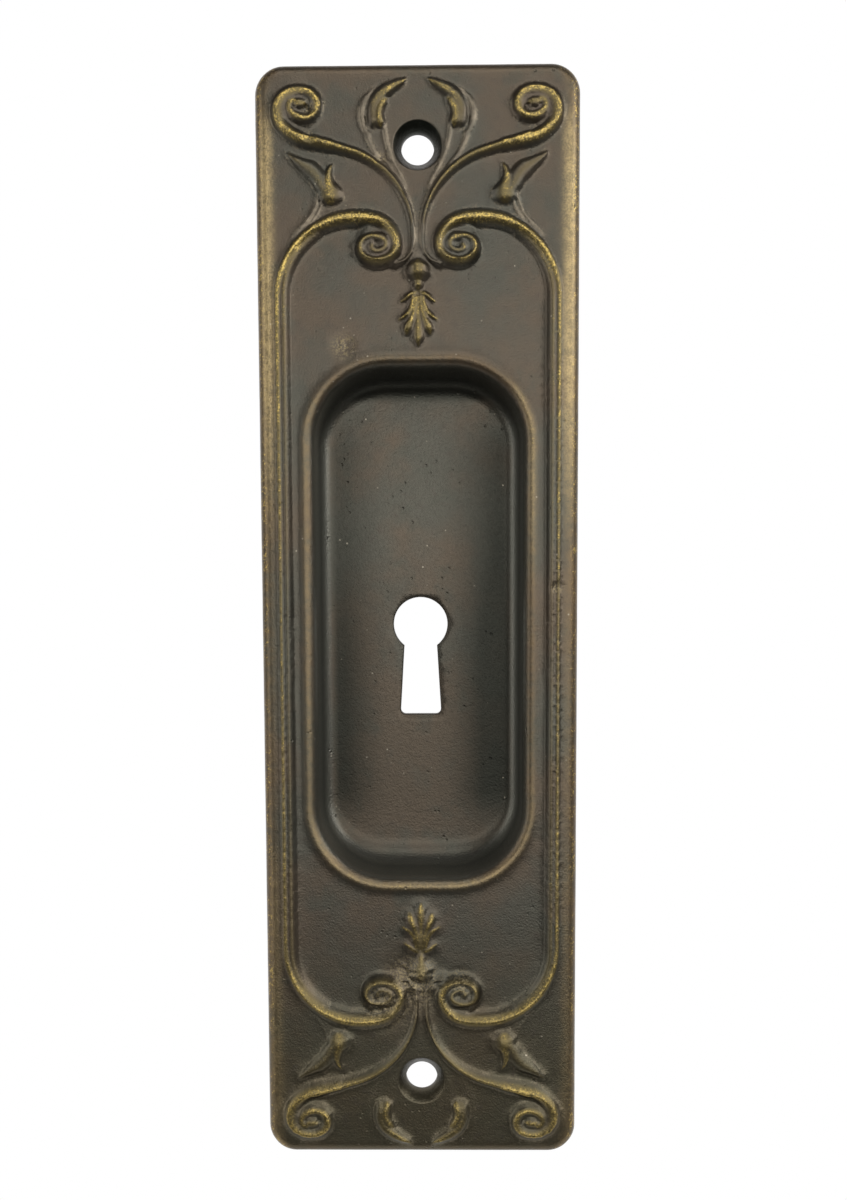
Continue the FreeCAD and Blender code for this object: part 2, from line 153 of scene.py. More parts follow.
# Draft below the roll and fillet of the sides, the upper end and the lower end
CUP_DRAFTS = (0.05, 0.7, 0.3)
CUP_FILLETS = (2.8, 3.2, 4.4)
CUP_WALL_ROWS = 7
CUP_FILLET_ROWS = 12


def lip_rise(outside):
    """Height of the lip over the panel, by the distance outside the cup's mouth."""
    beyond = np.clip((outside - LIP_CREST) / LIP_FLANK, 0, 1)
    within = np.clip((LIP_CREST - outside) / ROLL_WIDTH, 0, 1)
    crest = LIP_HEIGHT * (0.5 + 0.5 * np.cos(math.pi * beyond))
    return crest - ROLL_DEPTH * (1 - np.sqrt(1 - within * within))


mouth_outline, mouth_outward = rounded_rectangle(*CUP, CUP_STEPS)
endward = mouth_outward[:, 1] ** 2
draft, fillet = (side * (1 - endward) + np.where(mouth_outward[:, 1] > 0, upper, lower) * endward
                 for side, upper, lower in (CUP_DRAFTS, CUP_FILLETS))
cup_mouth = add_points(mouth_outline, float(lip_rise(0)) - PANEL_DEPTH)
cup_loops = [cup_mouth]


def add_cup_loop(inset, rise):
    """The next loop down the inside of the cup."""
    cup_loops.append(add_points(mouth_outline - mouth_outward * np.reshape(inset, (-1, 1)), rise))


roll_start = math.acos(LIP_CREST / ROLL_WIDTH)
roll_foot = LIP_HEIGHT - PANEL_DEPTH - ROLL_DEPTH
roll_inset = ROLL_WIDTH - LIP_CREST
for row in range(1, ROLL_ROWS + 1):
    turn = roll_start * (1 - row / ROLL_ROWS)
    add_cup_loop(ROLL_WIDTH * math.cos(turn) - LIP_CREST, roll_foot + ROLL_DEPTH * math.sin(turn))
for row in range(1, CUP_WALL_ROWS + 1):
    share = row / CUP_WALL_ROWS
    add_cup_loop(roll_inset + draft * share * share, roll_foot + (CUP_FLOOR + fillet - roll_foot) * share)
for row in range(1, CUP_FILLET_ROWS + 1):
    turn = math.radians(90 * row / CUP_FILLET_ROWS)
    add_cup_loop(roll_inset + draft + fillet * (1 - math.cos(turn)),
                 CUP_FLOOR + fillet * (1 - math.sin(turn)))
add_bands(*cup_loops)
floor_edge = cup_loops[-1]

# Keyhole: a round hole over a slot that widens to its foot, cast through the cup floor for the key of
# the lock behind. Its edges are a little rounded.
KEYHOLE_RADIUS = 4.95
SHOULDER_HALF_WIDTH = 3.0
FOOT_HALF_WIDTH = 3.7
FOOT_Y = -16.7
FOOT_ROUNDING = 0.9
KEYHOLE_EDGE = 0.22
# Counts of points round the hole, down a side of the slot, round a corner of its foot and along the foot
KEYHOLE_STEPS = (61, 26, 7, 16)


def keyhole_outline(grown):
    """Points anticlockwise round the keyhole, grown by a small amount on all sides."""
    hole_steps, side_steps, corner_steps, foot_steps = KEYHOLE_STEPS
    radius = KEYHOLE_RADIUS + grown
    half = SHOULDER_HALF_WIDTH + grown
    foot_y = FOOT_Y - grown
    start = math.degrees(math.asin(half / radius)) - 90
    turn = np.radians(np.linspace(start, 180 - start, hole_steps))
    hole = radius * np.column_stack((np.cos(turn), np.sin(turn)))
    lift = FOOT_ROUNDING
    inner = FOOT_HALF_WIDTH + grown - lift
    shoulder = np.array((-half, hole[-1][1]))
    down = np.linspace(0, 1, side_steps)[1:, None]
    left = shoulder + (np.array((-(FOOT_HALF_WIDTH + grown), foot_y + lift)) - shoulder) * down
    corners = []
    for centre_x, first in ((-inner, 180), (inner, 270)):
        turn = np.radians(np.linspace(first, first + 90, corner_steps))
        corners.append(np.column_stack((centre_x + lift * np.cos(turn), foot_y + lift + lift * np.sin(turn))))
    across = np.linspace(-inner, inner, foot_steps)[1:-1]
    foot = np.column_stack((across, np.full(len(across), foot_y)))
    return np.vstack((hole, left, corners[0][1:], foot, corners[1], (left[::-1] * (-1, 1))[1:]))


keyhole_front = add_points(keyhole_outline(KEYHOLE_EDGE), CUP_FLOOR)
keyhole_edge = add_points(keyhole_outline(0), CUP_FLOOR - KEYHOLE_EDGE)
keyhole_rear = add_points(keyhole_outline(0), CUP_BACK)
add_bands(keyhole_front, keyhole_edge, keyhole_rear)

# Screw holes: one near each end, countersunk for the flat heads of the wood screws that held the plate.
SCREW_Y = 81.7
SCREW_HOLE_RADIUS = 2.8
COUNTERSINK_RADIUS = 4.05
COUNTERSINK_DEPTH = 1.45
RIM_SOFTNESS = 0.18
SCREW_STEPS = 72


def circle(side, radius, steps=SCREW_STEPS):
    """Points anticlockwise round the screw hole of the upper end, side 1, or the lower one, side -1."""
    turn = np.linspace(0, 2 * math.pi, steps, endpoint=False)
    return np.column_stack((radius * np.cos(turn), side * SCREW_Y + radius * np.sin(turn)))


screw_fronts, screw_rears = [], []
for side in (-1, 1):
    levels = ((COUNTERSINK_RADIUS + RIM_SOFTNESS, 0), (COUNTERSINK_RADIUS, -RIM_SOFTNESS),
              (SCREW_HOLE_RADIUS, -RIM_SOFTNESS - COUNTERSINK_DEPTH), (SCREW_HOLE_RADIUS, -PLATE_THICKNESS))
    rings = [add_points(circle(side, radius), rise) for radius, rise in levels]
    add_bands(*rings)
    screw_fronts.append(rings[0])
    screw_rears.append(rings[-1])

# Hollow back: the plate is thinned behind, inside a rim, to save bronze. A boss stays round each screw
# hole, and the outside of the cup stands out behind, left as it came from the sand.
RIM_WIDTH = 2.6
HOLLOW = (PLATE_HALF_WIDTH - RIM_WIDTH, PLATE_HALF_HEIGHT - RIM_WIDTH, RIM_WIDTH - PLATE_HALF_HEIGHT, 2.4)
HOLLOW_STEPS = (92, 24, 5)
HOLLOW_RISE = -2.2
BOSS_RADIUS = 6.5
BOSS_STEPS = 48
WALL_SLOPE = 0.12
SKIN_FOOT = 0.7
SKIN_DRAFT = 0.118
SKIN_FILLET = 4.0
SKIN_ROWS = 8
SKIN_FILLET_STEP = 15

hollow_outline, hollow_outward = rounded_rectangle(*HOLLOW, HOLLOW_STEPS)
rim_inner = add_points(hollow_outline, -PLATE_THICKNESS)
hollow_edge = add_points(hollow_outline - hollow_outward * WALL_SLOPE, HOLLOW_RISE)
add_bands(hollow_edge, rim_inner)
boss_tops, boss_feet = [], []
for side in (-1, 1):
    boss_tops.append(add_points(circle(side, BOSS_RADIUS, BOSS_STEPS), -PLATE_THICKNESS))
    boss_feet.append(add_points(circle(side, BOSS_RADIUS + WALL_SLOPE, BOSS_STEPS), HOLLOW_RISE))
    add_bands(boss_tops[-1], boss_feet[-1])
skin_levels = [(SKIN_FOOT + SKIN_DRAFT * (rise - CUP_BACK), rise)
               for rise in np.linspace(HOLLOW_RISE, CUP_BACK + SKIN_FILLET, SKIN_ROWS)]
fillet_start = skin_levels[-1][0] - SKIN_FILLET
skin_levels += [(fillet_start + SKIN_FILLET * math.cos(turn), CUP_BACK + SKIN_FILLET * (1 - math.sin(turn)))
                for turn in np.radians(np.arange(SKIN_FILLET_STEP, 91, SKIN_FILLET_STEP))]
skin_rings = [add_points(mouth_outline + mouth_outward * grown, rise) for grown, rise in skin_levels]
for upper, lower in zip(skin_rings, skin_rings[1:]):
    add_bands(lower, upper)

# Scrolls, buds and drop of the upper left quarter, carved in the pattern that the mould was made from.
# Each is a stroke: a line that the crest follows, with the width of its left and right flank, its
# rise, and its fullness: near 1 a sharp ridge, above 2 a round one. The other quarters repeat it.
# It was drawn a little large, for a plate 56.1 mm wide.
STROKE_STEP = 0.12
DRAWN_SCALE = 2 * PLATE_HALF_WIDTH / 56.1
BORDER = 0.0
SUNK = -PANEL_DEPTH


def sections_of(rows):
    """The sections that rows carry after their first two numbers: left and right width, or one for
    both, and rise. Each is given with its row's number."""
    return [(number, *row[2:]) for number, row in enumerate(rows) if len(row) > 2]


def arc_line(start, heading, runs):
    """Line of tangent runs: (radius, turn in degrees, left is plus) or (None, length). The start and
    each run may carry a section, the run's at its end."""
    x, y = start[:2]
    angle = math.radians(heading)
    line, stations, length = [(x, y)], [0.0], 0.0
    for radius, amount, *_ in runs:
        run_length = amount if radius is None else radius * math.radians(abs(amount))
        count = max(2, round(run_length / STROKE_STEP))
        turn = 0 if radius is None else math.radians(amount) / count
        for _ in range(count):
            angle += turn / 2
            x += run_length / count * math.cos(angle)
            y += run_length / count * math.sin(angle)
            angle += turn / 2
            line.append((x, y))
        length += run_length
        stations.append(length)
    return np.array(line), stations, sections_of((start, *runs))


def bent_line(rows):
    """Smooth line through a few knots. Each may carry a section."""
    knots = np.array([row[:2] for row in rows], float)
    ends = np.vstack((2 * knots[0] - knots[1], knots, 2 * knots[-1] - knots[-2]))
    line, stations = [knots[0]], [0.0]
    for index in range(len(knots) - 1):
        before, begin, finish, after = ends[index:index + 4]
        count = max(2, round(np.hypot(*(finish - begin)) / STROKE_STEP))
        length = stations[-1]
        for share in np.arange(1, count + 1) / count:
            spot = 0.5 * (2 * begin + (finish - before) * share
                          + (2 * before - 5 * begin + 4 * finish - after) * share ** 2
                          + (3 * begin - before - 3 * finish + after) * share ** 3)
            length += np.hypot(*(spot - line[-1]))
            line.append(spot)
        stations.append(length)
    return np.array(line), stations, sections_of(rows)


strokes = []


def stroke(drawn, fullness=1.4, grounds=BORDER, worn=0.8):
    """Keeps a stroke, drawn as knots or as arcs. Grounds are one level for all of it, or rows of a knot's
    or run's number with left and right level, or one for both. Worn says how bright hands have rubbed
    its crest, one value or start and end; below 0 it is left pale and rough."""
    line, stations, sections = drawn if isinstance(drawn[0], np.ndarray) else bent_line(drawn)
    grounds = grounds if isinstance(grounds, tuple) else ((0, grounds),)
    lengths = np.concatenate(((0,), np.cumsum(np.hypot(*np.diff(line, axis=0).T))))
    values = []
    for rows, columns in ((sections, (1, -2, -1)), (grounds, (1, -1))):
        places = [stations[row[0]] / stations[-1] * lengths[-1] for row in rows]
        values += [np.interp(lengths, places, [row[column] for row in rows]) for column in columns]
    values += [np.full(len(line), fullness), np.linspace(*np.broadcast_to(worn, 2), len(line))]
    values[0] *= DRAWN_SCALE
    values[1] *= DRAWN_SCALE
    strokes.append((line * DRAWN_SCALE, np.column_stack(values)))


# Bead: two reeds side by side up the side. The inner one dies out where the corner arch begins, and the
# outer one, thin and sharp, widens over the arch into the volute.
stroke(arc_line((-24.43, -1, 0.55, 0.5, 0.55), 90, ((None, 58, 0.62, 0.55, 0.62),
                                                    (13.93, -60, 1.0, 1.7, 0.8))), 1.25,
       ((0, BORDER, 0.1), (1, BORDER, 0.1), (2, BORDER, SUNK)), worn=(0.68, 1.0))
stroke(arc_line((-23.4, -1, 0.55, 1.2, 0.5), 90, ((None, 58.4, 0.55, 1.25, 0.52),
                                                  (12.9, -60, 0.5, 1.4, 0.1))), 2.0, ((0, BORDER, SUNK),),
       worn=(0.35, 0.55))
# Volute
stroke(((-17.465, 69.064, 1.0, 1.7, 0.8), (-15.0, 70.05, 1.3, 1.8, 0.85), (-12.9, 70.5),
        (-10.6, 70.6, 1.5, 1.9, 0.95), (-8.3, 70.45), (-6.8, 70.05, 1.5, 1.6, 1.05), (-5.6, 69.4),
        (-4.5, 68.2, 1.4, 1.2), (-3.75, 66.9), (-3.6, 65.8, 1.1, 1.3, 1.28), (-3.9, 64.8),
        (-4.65, 63.95, 1.3, 1.1, 1.3), (-5.85, 63.4), (-7.2, 63.25, 1.5, 0.8, 1.3), (-8.5, 63.5),
        (-9.5, 64.2, 1.2, 0.8, 1.28), (-9.95, 65.15), (-9.9, 66.1, 0.95, 0.9, 1.25), (-9.35, 66.85),
        (-8.4, 67.3, 0.8, 0.95, 1.15), (-7.35, 67.3), (-6.35, 67.05, 0.75, 0.9, 1.1), (-5.65, 66.5),
        (-5.45, 65.85, 0.65, 0.7, 1.15), (-5.8, 65.2), (-6.55, 64.8), (-7.4, 64.8, 0.6, 0.5, 1.1),
        (-7.95, 65.15), (-7.9, 65.65), (-7.4, 65.85, 0.7, 1.1)), 1.35,
       ((0, BORDER, SUNK), (6, BORDER, SUNK), (8, BORDER, 0.0), (10, BORDER, 0.4), (12, SUNK, 0.5),
        (17, SUNK, 0.7), (19, SUNK, 0.7), (21, 0.7, 0.75), (29, 0.8)), worn=(1.0, 0.6))
# Stem, sharp on its upper edge, that curls into the corner scroll
stroke(arc_line((-4.3, 62.7, 0.3, 0.1), 8, ((6.0, 17, 0.45, 0.4, 0.4), (3.0, 60),
                                            (20.0, 10, 0.6, 0.45, 0.75), (14.0, 35, 1.1, 0.55, 1.0),
                                            (15.5, 33, 1.4, 0.65, 1.1), (None, 8.5, 1.75, 0.7, 1.27))),
       1.35, worn=(0.3, 0.95))
stroke(((-14.4, 82.75, 1.75, 0.7, 1.27), (-16.55, 83.2), (-18.25, 83.5), (-19.95, 83.95, 1.9, 0.9, 1.28),
        (-21.5, 84.55), (-22.85, 85.4, 1.3, 1.4, 1.28), (-23.85, 86.45), (-24.35, 87.8, 0.75, 2.0, 1.3),
        (-24.25, 89.1), (-23.65, 90.3, 0.8, 1.7, 1.28), (-22.6, 91.2), (-21.25, 91.7),
        (-19.85, 91.8, 0.8, 1.3, 1.2), (-18.5, 91.45), (-17.5, 90.75, 0.75, 1.3, 1.28), (-17.0, 89.8),
        (-17.0, 88.7, 0.7, 1.3, 1.28), (-17.55, 87.75), (-18.6, 87.2, 0.95, 0.8, 1.2), (-19.8, 87.15),
        (-20.95, 87.6, 1.1, 0.6, 1.15), (-21.75, 88.35), (-21.9, 89.15, 0.6, 1.1), (-21.45, 89.75),
        (-20.6, 89.85, 0.6, 1.05)), 1.5,
       ((0, BORDER), (5, BORDER, 0.4), (7, BORDER, 0.75), (17, 0.4, 0.8), (24, 0.8)), worn=0.95)
stroke(((-21.2, 89.2, 0.4, 0.7), (-20.8, 89.3, 0.9, 1.2), (-20.2, 89.35, 1.05, 1.32),
        (-19.6, 89.3, 1.0, 1.32), (-19.1, 89.2, 0.8, 1.15), (-18.8, 89.1, 0.4, 0.7)), 2.2, 0.7, worn=0.7)
# Tendrils from the bud beside the screw, which run down along the stem, and its soft sheath
stroke(((-8.6, 84.6, 0.7, 0.4), (-8.2, 83.2, 0.6, 0.4), (-7.0, 81.0), (-4.8, 78.4), (-3.0, 76.2),
        (-1.6, 73.4, 0.4, 0.42), (-0.8, 70.2), (-0.55, 67.6), (-0.75, 65.6, 0.4, 0.35, 0.5), (-1.6, 64.1),
        (-2.9, 63.3, 0.3, 0.1)), worn=-0.8)
stroke(((-5.7, 86.0, 0.6, 0.4), (-5.5, 84.4), (-5.0, 82.2, 0.5, 0.35), (-4.0, 79.6), (-2.8, 77.5),
        (-1.9, 75.4, 0.3, 0.2)), worn=-0.8)
stroke(((-6.5, 92.0, 0.2, 0.5, 0.1), (-7.7, 91.2), (-8.7, 90.1, 0.5, 0.9, 0.45), (-9.3, 88.8),
        (-9.4, 87.2, 0.5, 0.9, 0.5), (-9.1, 85.6), (-8.3, 84.2, 0.5, 0.6, 0.4)), 2.2, worn=-0.8)
# Stalk of the bud below the stem, two thin lines that spring from the arch
stroke(((-17.1, 74.6, 0.35, 0.55), (-17.4, 72.9), (-18.2, 71.2, 0.35, 0.4, 0.4), (-19.6, 69.4),
        (-21.4, 67.4, 0.5, 0.7, 0.2)), worn=-0.8)
stroke(((-16.3, 73.6, 0.3, 0.4), (-16.8, 72.1, 0.35, 0.35), (-17.7, 70.6), (-19.2, 68.9, 0.4, 0.1)),
       worn=-0.8)
# Bud beside the screw: a long leaf bent over to a point, a body blunt at its lower end, and a ridge
# down its inner side that starts from a second, short point
stroke(((-1.95, 93.35, 0.25, 0.3, 0.52), (-2.9, 92.75, 0.6, 0.8, 0.9), (-3.9, 92.15, 0.75, 1.2, 0.95),
        (-4.9, 91.6, 1.0, 1.4, 0.99), (-5.9, 91.0, 1.2, 1.4, 0.99), (-6.9, 90.1, 1.4, 1.3, 0.99),
        (-7.5, 88.7), (-7.55, 87.2, 2.0, 1.2, 0.95), (-7.45, 86.2, 1.9, 1.1, 0.85),
        (-7.3, 85.3, 1.1, 0.7, 0.15)), 2.8, worn=(0.8, 0.35))
stroke(((-5.05, 90.3, 0.2, 0.3, 0.52), (-5.7, 89.7, 0.9, 0.7, 1.03), (-6.3, 88.8, 1.0, 1.15), (-6.6, 87.7),
        (-6.45, 86.8, 1.1, 1.15, 1.17), (-6.25, 86.0, 1.05, 1.1, 0.95), (-6.1, 85.3, 0.5, 0.1)), 1.8,
       worn=0.8)
# Bud below the stem: a broad leaf, a short leaf and the round bulb they spring from
stroke(((-22.4, 81.25, 0.2, 0.43), (-21.1, 80.2, 0.8, 0.86), (-19.8, 79.35, 1.2, 1.25, 0.99),
        (-18.4, 78.45, 1.75, 1.03), (-17.3, 77.25, 1.7, 1.6, 1.03), (-16.6, 75.9, 1.5, 1.03),
        (-16.0, 74.8, 1.2, 1.03)), 3.0, worn=0.45)
stroke(((-14.6, 79.5, 0.15, 0.34), (-15.05, 78.6, 0.6, 0.5, 0.86), (-15.3, 77.7, 0.85, 0.75, 1.03),
        (-15.3, 76.7, 1.1, 1.2, 1.07), (-15.05, 75.7), (-14.9, 75.0, 1.5, 1.6, 1.07)), 1.9, worn=0.8)
stroke(((-15.0, 76.5, 0.6, 0.77), (-15.0, 75.9, 1.5, 0.99), (-15.0, 75.2, 2.25, 1.14),
        (-15.0, 74.4, 2.55, 1.2), (-15.0, 73.6, 2.4, 1.07), (-15.0, 72.9, 1.7, 0.65), (-15.0, 72.4, 0.5, 0)),
       2.3, worn=0.7)
# Drop: a ball under a short neck, a small ball, and a husk of leaves
stroke(((0, 66.0, 0.3, 0.0), (0, 64.8, 0.8, 0.12), (0, 63.8, 1.1, 0.15), (0, 62.6, 1.2, 0.1)), 1.8,
       worn=-0.2)
stroke(((0, 63.7, 0.6, 0.0), (0, 63.3, 1.5, 0.6), (0, 62.6, 2.2, 1.05), (0, 61.7, 2.45, 1.2),
        (0, 60.9, 2.25, 1.0), (0, 60.2, 1.7, 0.5), (0, 59.7, 1.0, -0.1), (0, 59.4, 0.4, -0.55)), 2.2, SUNK,
       worn=0.62)
stroke(((0, 60.1, 0.5, -0.4), (0, 59.8, 1.0, 0.2), (0, 59.25, 1.2, 0.5), (0, 58.7, 1.0, 0.2),
        (0, 58.3, 0.5, -0.5)), 2.1, SUNK, worn=0.7)
stroke(((0, 57.7, 0.5, -0.25), (0, 56.5, 0.5, -0.18), (0, 54.0, 0.6, -0.11), (0, 52.2, 1.0, 0.11),
        (0, 50.9, 1.25, 0.21), (0, 50.0, 1.1, 0.14), (0, 48.7, 0.2, -0.47)), 2.6, SUNK, worn=0.72)
stroke(((-0.5, 58.0, 0.45, -0.11), (-1.2, 57.7, 0.55, 0.14), (-1.8, 57.25, 0.52, 0.54, 0.11),
        (-2.3, 56.8, 0.4, 0.42, 0), (-3.05, 56.35, 0.12, -0.4)), 1.9, SUNK, worn=1.0)
stroke(((-0.8, 57.2, 0.4, -0.11), (-1.05, 56.1, 0.48, 0.07), (-1.35, 55.1, 0.54, 0.56, 0.14),
        (-1.9, 54.3, 0.52, 0.54, 0.11), (-2.55, 53.8, 0.42, 0.44, 0), (-3.4, 53.35, 0.12, -0.4)), 1.9, SUNK,
       worn=1.0)
stroke(((-0.35, 57.3, 0.35, 0.3, -0.11), (-0.5, 55.9, 0.4, 0.35, 0.03), (-0.8, 54.5, 0.5, 0.14),
        (-1.35, 53.05, 0.85, 0.8, 0.29), (-1.85, 51.9, 1.1, 1.0, 0.25), (-2.15, 51.0, 0.8, 0.7, -0.25)),
       2.6, SUNK, worn=0.85)

# The strokes become loose lines in space, whose points carry their widths and the rest.
STROKE_VALUES = ("left_width", "right_width", "rise", "left_ground", "right_ground", "fullness", "worn")


def put(name, data):
    """Adds an object to the scene."""
    thing = bpy.data.objects.new(name, data)
    bpy.context.scene.collection.objects.link(thing)
    return thing


def tell(mesh, name, values):
    """Keeps a value for each point of a mesh."""
    mesh.attributes.new(name, "FLOAT", "POINT").data.foreach_set("value", values)


line_mesh = bpy.data.meshes.new("ornament_lines")
line_edges, start = [], 0
for line, _ in strokes:
    line_edges += [(index, index + 1) for index in range(start, start + len(line) - 1)]
    start += len(line)
line_mesh.from_pydata([(x, y, 0) for line, _ in strokes for x, y in line], line_edges, [])
for name, values in zip(STROKE_VALUES, np.vstack([table for _, table in strokes]).T):
    tell(line_mesh, name, values)
ornament_lines = put("ornament_lines", line_mesh)

# Face of the plate: a fine skin of triangles between the plate's edge, the lip of the cup and the
# screw holes. Its points lie in rows along every stroke, bead, edge and lip, so each keeps its form.
ROW_SHARES = (0, -0.2, 0.2, -0.42, 0.42, -0.62, 0.62, -0.8, 0.8, -0.95, 0.95, -1.1, 1.1)
ROW_STEP = 0.27
SIDE_ROW_STEP = 0.6
ROW_GAP = 0.15
EDGE_ROW_GAP = 0.2
LIP_ROWS = (0.13, 0.28, 0.44, 0.6, 0.76, 0.92, 1.1, 1.3, 1.5, 1.75, 2.1)
LIP_ROW_GAP = 0.09
SCREW_ROWS = (4.45, 4.8, 5.3)
# The first strokes, the reeds, are straight and plain below the arch
REEDS = 2
ARCH_FOOT = 52
SLOPE_ROWS = np.arange(21.8, 23.3, 0.2)
SLOPE_TOP = 57.5
CELL = 0.5
# The spots between the rows: finer near the ornament and in rough places
FINE_FIELD = (-25.2, 25.2, -94, 94)
FINE_SPACING = 0.42
FINE_GAP = 0.26
PLAIN_FIELD = (-26, 26, -93.5, 93.5)
PLAIN_SPACING = 0.95
PLAIN_GAP = 0.49
NEAR_REACH = 1.1
JITTER = 0.12
TRIANGLE_HEIGHT = 0.866
SAME_SPOT = 1e-7
LIP_REACH = 3.0
RNG = np.random.default_rng(7)
# Rough places, where the sand crumbled or the face was scraped: centre, radius
ROUGH_PLACES = ((-1.5, -63.5, 7.5), (-12.9, 48.3, 3.2), (7.0, -63.8, 3.5), (-18.3, 87.4, 2.2),
                (-6.2, -67.5, 6.5), (23.9, 6.7, 1.6), (-7.0, 4.3, 1.0), (-6.2, 79.5, 1.5), (-18.5, 83.2, 1.6))

taken = {}
skin_spots = []


def cells_round(spot, size, reach=1):
    """Square cells of a size round the one that a spot lies in, as far as a reach in cells."""
    column, row = math.floor(spot[0] / size), math.floor(spot[1] / size)
    return [(column + across, row + up)
            for across in range(-reach, reach + 1) for up in range(-reach, reach + 1)]


def take(spot):
    """Notes a spot as taken."""
    taken.setdefault(cells_round(spot, CELL, 0)[0], []).append(spot)


def keep_spots(spots, gap):
    """Keeps the spots that have no neighbour yet within the gap."""
    for x, y in spots:
        near = (other for cell in cells_round((x, y), CELL) for other in taken.get(cell, ()))
        if all((x - other[0]) ** 2 + (y - other[1]) ** 2 >= gap * gap for other in near):
            take((x, y))
            skin_spots.append((x, y))


def resampled(line, values, step):
    """The line and its values at even steps."""
    lengths = np.concatenate(((0,), np.cumsum(np.hypot(*np.diff(line, axis=0).T))))
    places = np.linspace(0, lengths[-1], max(3, round(lengths[-1] / step)))
    return (np.column_stack([np.interp(places, lengths, column) for column in table.T])
            for table in (line, values))


def four_quarters(spots):
    """The spots of the upper left quarter in all four; the lower ones lie a little further out."""
    lower = np.column_stack((spots[:, 0], -spots[:, 1] - LOWER_SHIFT))
    return [spots, spots * (-1, 1), lower, lower * (-1, 1)]


for loop in [plate_front, cup_mouth] + screw_fronts:
    for index in loop:
        take(points[index][:2])
for turn in np.linspace(0, 90, EDGE_ROWS + 1)[1:]:
    inset = EDGE_ROUNDING * (1 - math.cos(math.radians(turn)))
    keep_spots(plate_outline - plate_outward * inset, min(0.9 * inset, EDGE_ROW_GAP))
for outside in LIP_ROWS:
    keep_spots(mouth_outline + mouth_outward * outside, LIP_ROW_GAP)
for side in (-1, 1):
    for radius in SCREW_ROWS:
        keep_spots(circle(side, radius), ROW_GAP)
stroke_rows = []
for number, (line, table) in enumerate(strokes):
    if number < REEDS:
        upper = line[:, 1] > ARCH_FOOT
        stroke_rows.append((line[~upper], table[~upper], SIDE_ROW_STEP))
        line, table = line[upper], table[upper]
    stroke_rows.append((line, table, ROW_STEP))
for share in ROW_SHARES:
    for row in stroke_rows:
        spots, values = resampled(*row)
        along = np.gradient(spots, axis=0)
        along /= np.hypot(*along.T)[:, None]
        across = np.column_stack((-along[:, 1], along[:, 0]))
        width = values[:, 0 if share > 0 else 1] * share
        for quarter in four_quarters(spots + across * width[:, None]):
            keep_spots(quarter, ROW_GAP)
for height_row in np.arange(-SLOPE_TOP, SLOPE_TOP + 0.1, SIDE_ROW_STEP):
    slope = np.column_stack((SLOPE_ROWS, np.full(len(SLOPE_ROWS), height_row)))
    keep_spots(np.vstack((slope, slope * (-1, 1))), ROW_GAP)


def scattered(x_low, x_high, y_low, y_high, spacing):
    """Grid of staggered, slightly jittered spots."""
    across = np.arange(x_low, x_high, spacing)
    up = np.arange(y_low, y_high, spacing * TRIANGLE_HEIGHT)
    grid = np.array([(x + spacing / 2 * (row % 2), y) for row, y in enumerate(up) for x in across])
    return grid + RNG.uniform(-JITTER, JITTER, grid.shape) * spacing


fine_cells = {cell for line, _ in strokes for spot in np.vstack(four_quarters(line))
              for cell in cells_round(spot, NEAR_REACH)}
for x, y, radius in ROUGH_PLACES:
    fine_cells.update(cells_round((x, y), NEAR_REACH, math.ceil(radius / NEAR_REACH)))
fine = scattered(*FINE_FIELD, FINE_SPACING)
fine = np.array([spot for spot in fine if cells_round(spot, NEAR_REACH, 0)[0] in fine_cells])
coarse = scattered(*PLAIN_FIELD, PLAIN_SPACING)


def on_face(spots, clear=0.12):
    """Those of the spots that lie on the face and clear of its edges."""
    from_screw = np.hypot(spots[:, 0], np.abs(spots[:, 1]) - SCREW_Y)
    return ((depth_inside(spots, *PLATE) > clear) & (depth_inside(spots, *CUP) < -clear / 2)
            & (from_screw > COUNTERSINK_RADIUS + RIM_SOFTNESS + clear / 2))


keep_spots(fine[on_face(fine)], FINE_GAP)
keep_spots(coarse[on_face(coarse, clear=0.5)], PLAIN_GAP)
skin_spots = np.array(skin_spots)
skin_spots = skin_spots[on_face(skin_spots, clear=0.04)]


def face_rise(spots):
    """Rise of the bare face: quarter-round edge, border, slope, sunk panel and lip."""
    short = np.clip(EDGE_ROUNDING - depth_inside(spots, *PLATE), 0, EDGE_ROUNDING)
    edge = np.sqrt(EDGE_ROUNDING ** 2 - short ** 2) - EDGE_ROUNDING
    sunk = PANEL_DEPTH * smooth(panel_depth_inside(spots), 0, SLOPE_WIDTH)
    outside = -depth_inside(spots, *CUP)
    return edge - sunk + np.where(outside < LIP_REACH, lip_rise(outside), 0)


def in_loop(spots, loop):
    """Whether each spot lies inside the loop of points."""
    corners = np.array([points[index][:2] for index in loop])
    inside = np.zeros(len(spots), bool)
    for begin, finish in zip(corners, np.roll(corners, -1, axis=0)):
        crosses = (begin[1] > spots[:, 1]) != (finish[1] > spots[:, 1])
        if begin[1] != finish[1]:
            at = begin[0] + (finish[0] - begin[0]) * (spots[:, 1] - begin[1]) / (finish[1] - begin[1])
            inside ^= crosses & (spots[:, 0] < at)
    return inside


def between(spots, outer, inner_loops):
    """Whether each spot lies inside the outer loop and outside the inner ones."""
    good = in_loop(spots, outer)
    for loop in inner_loops:
        good &= ~in_loop(spots, loop)
    return good


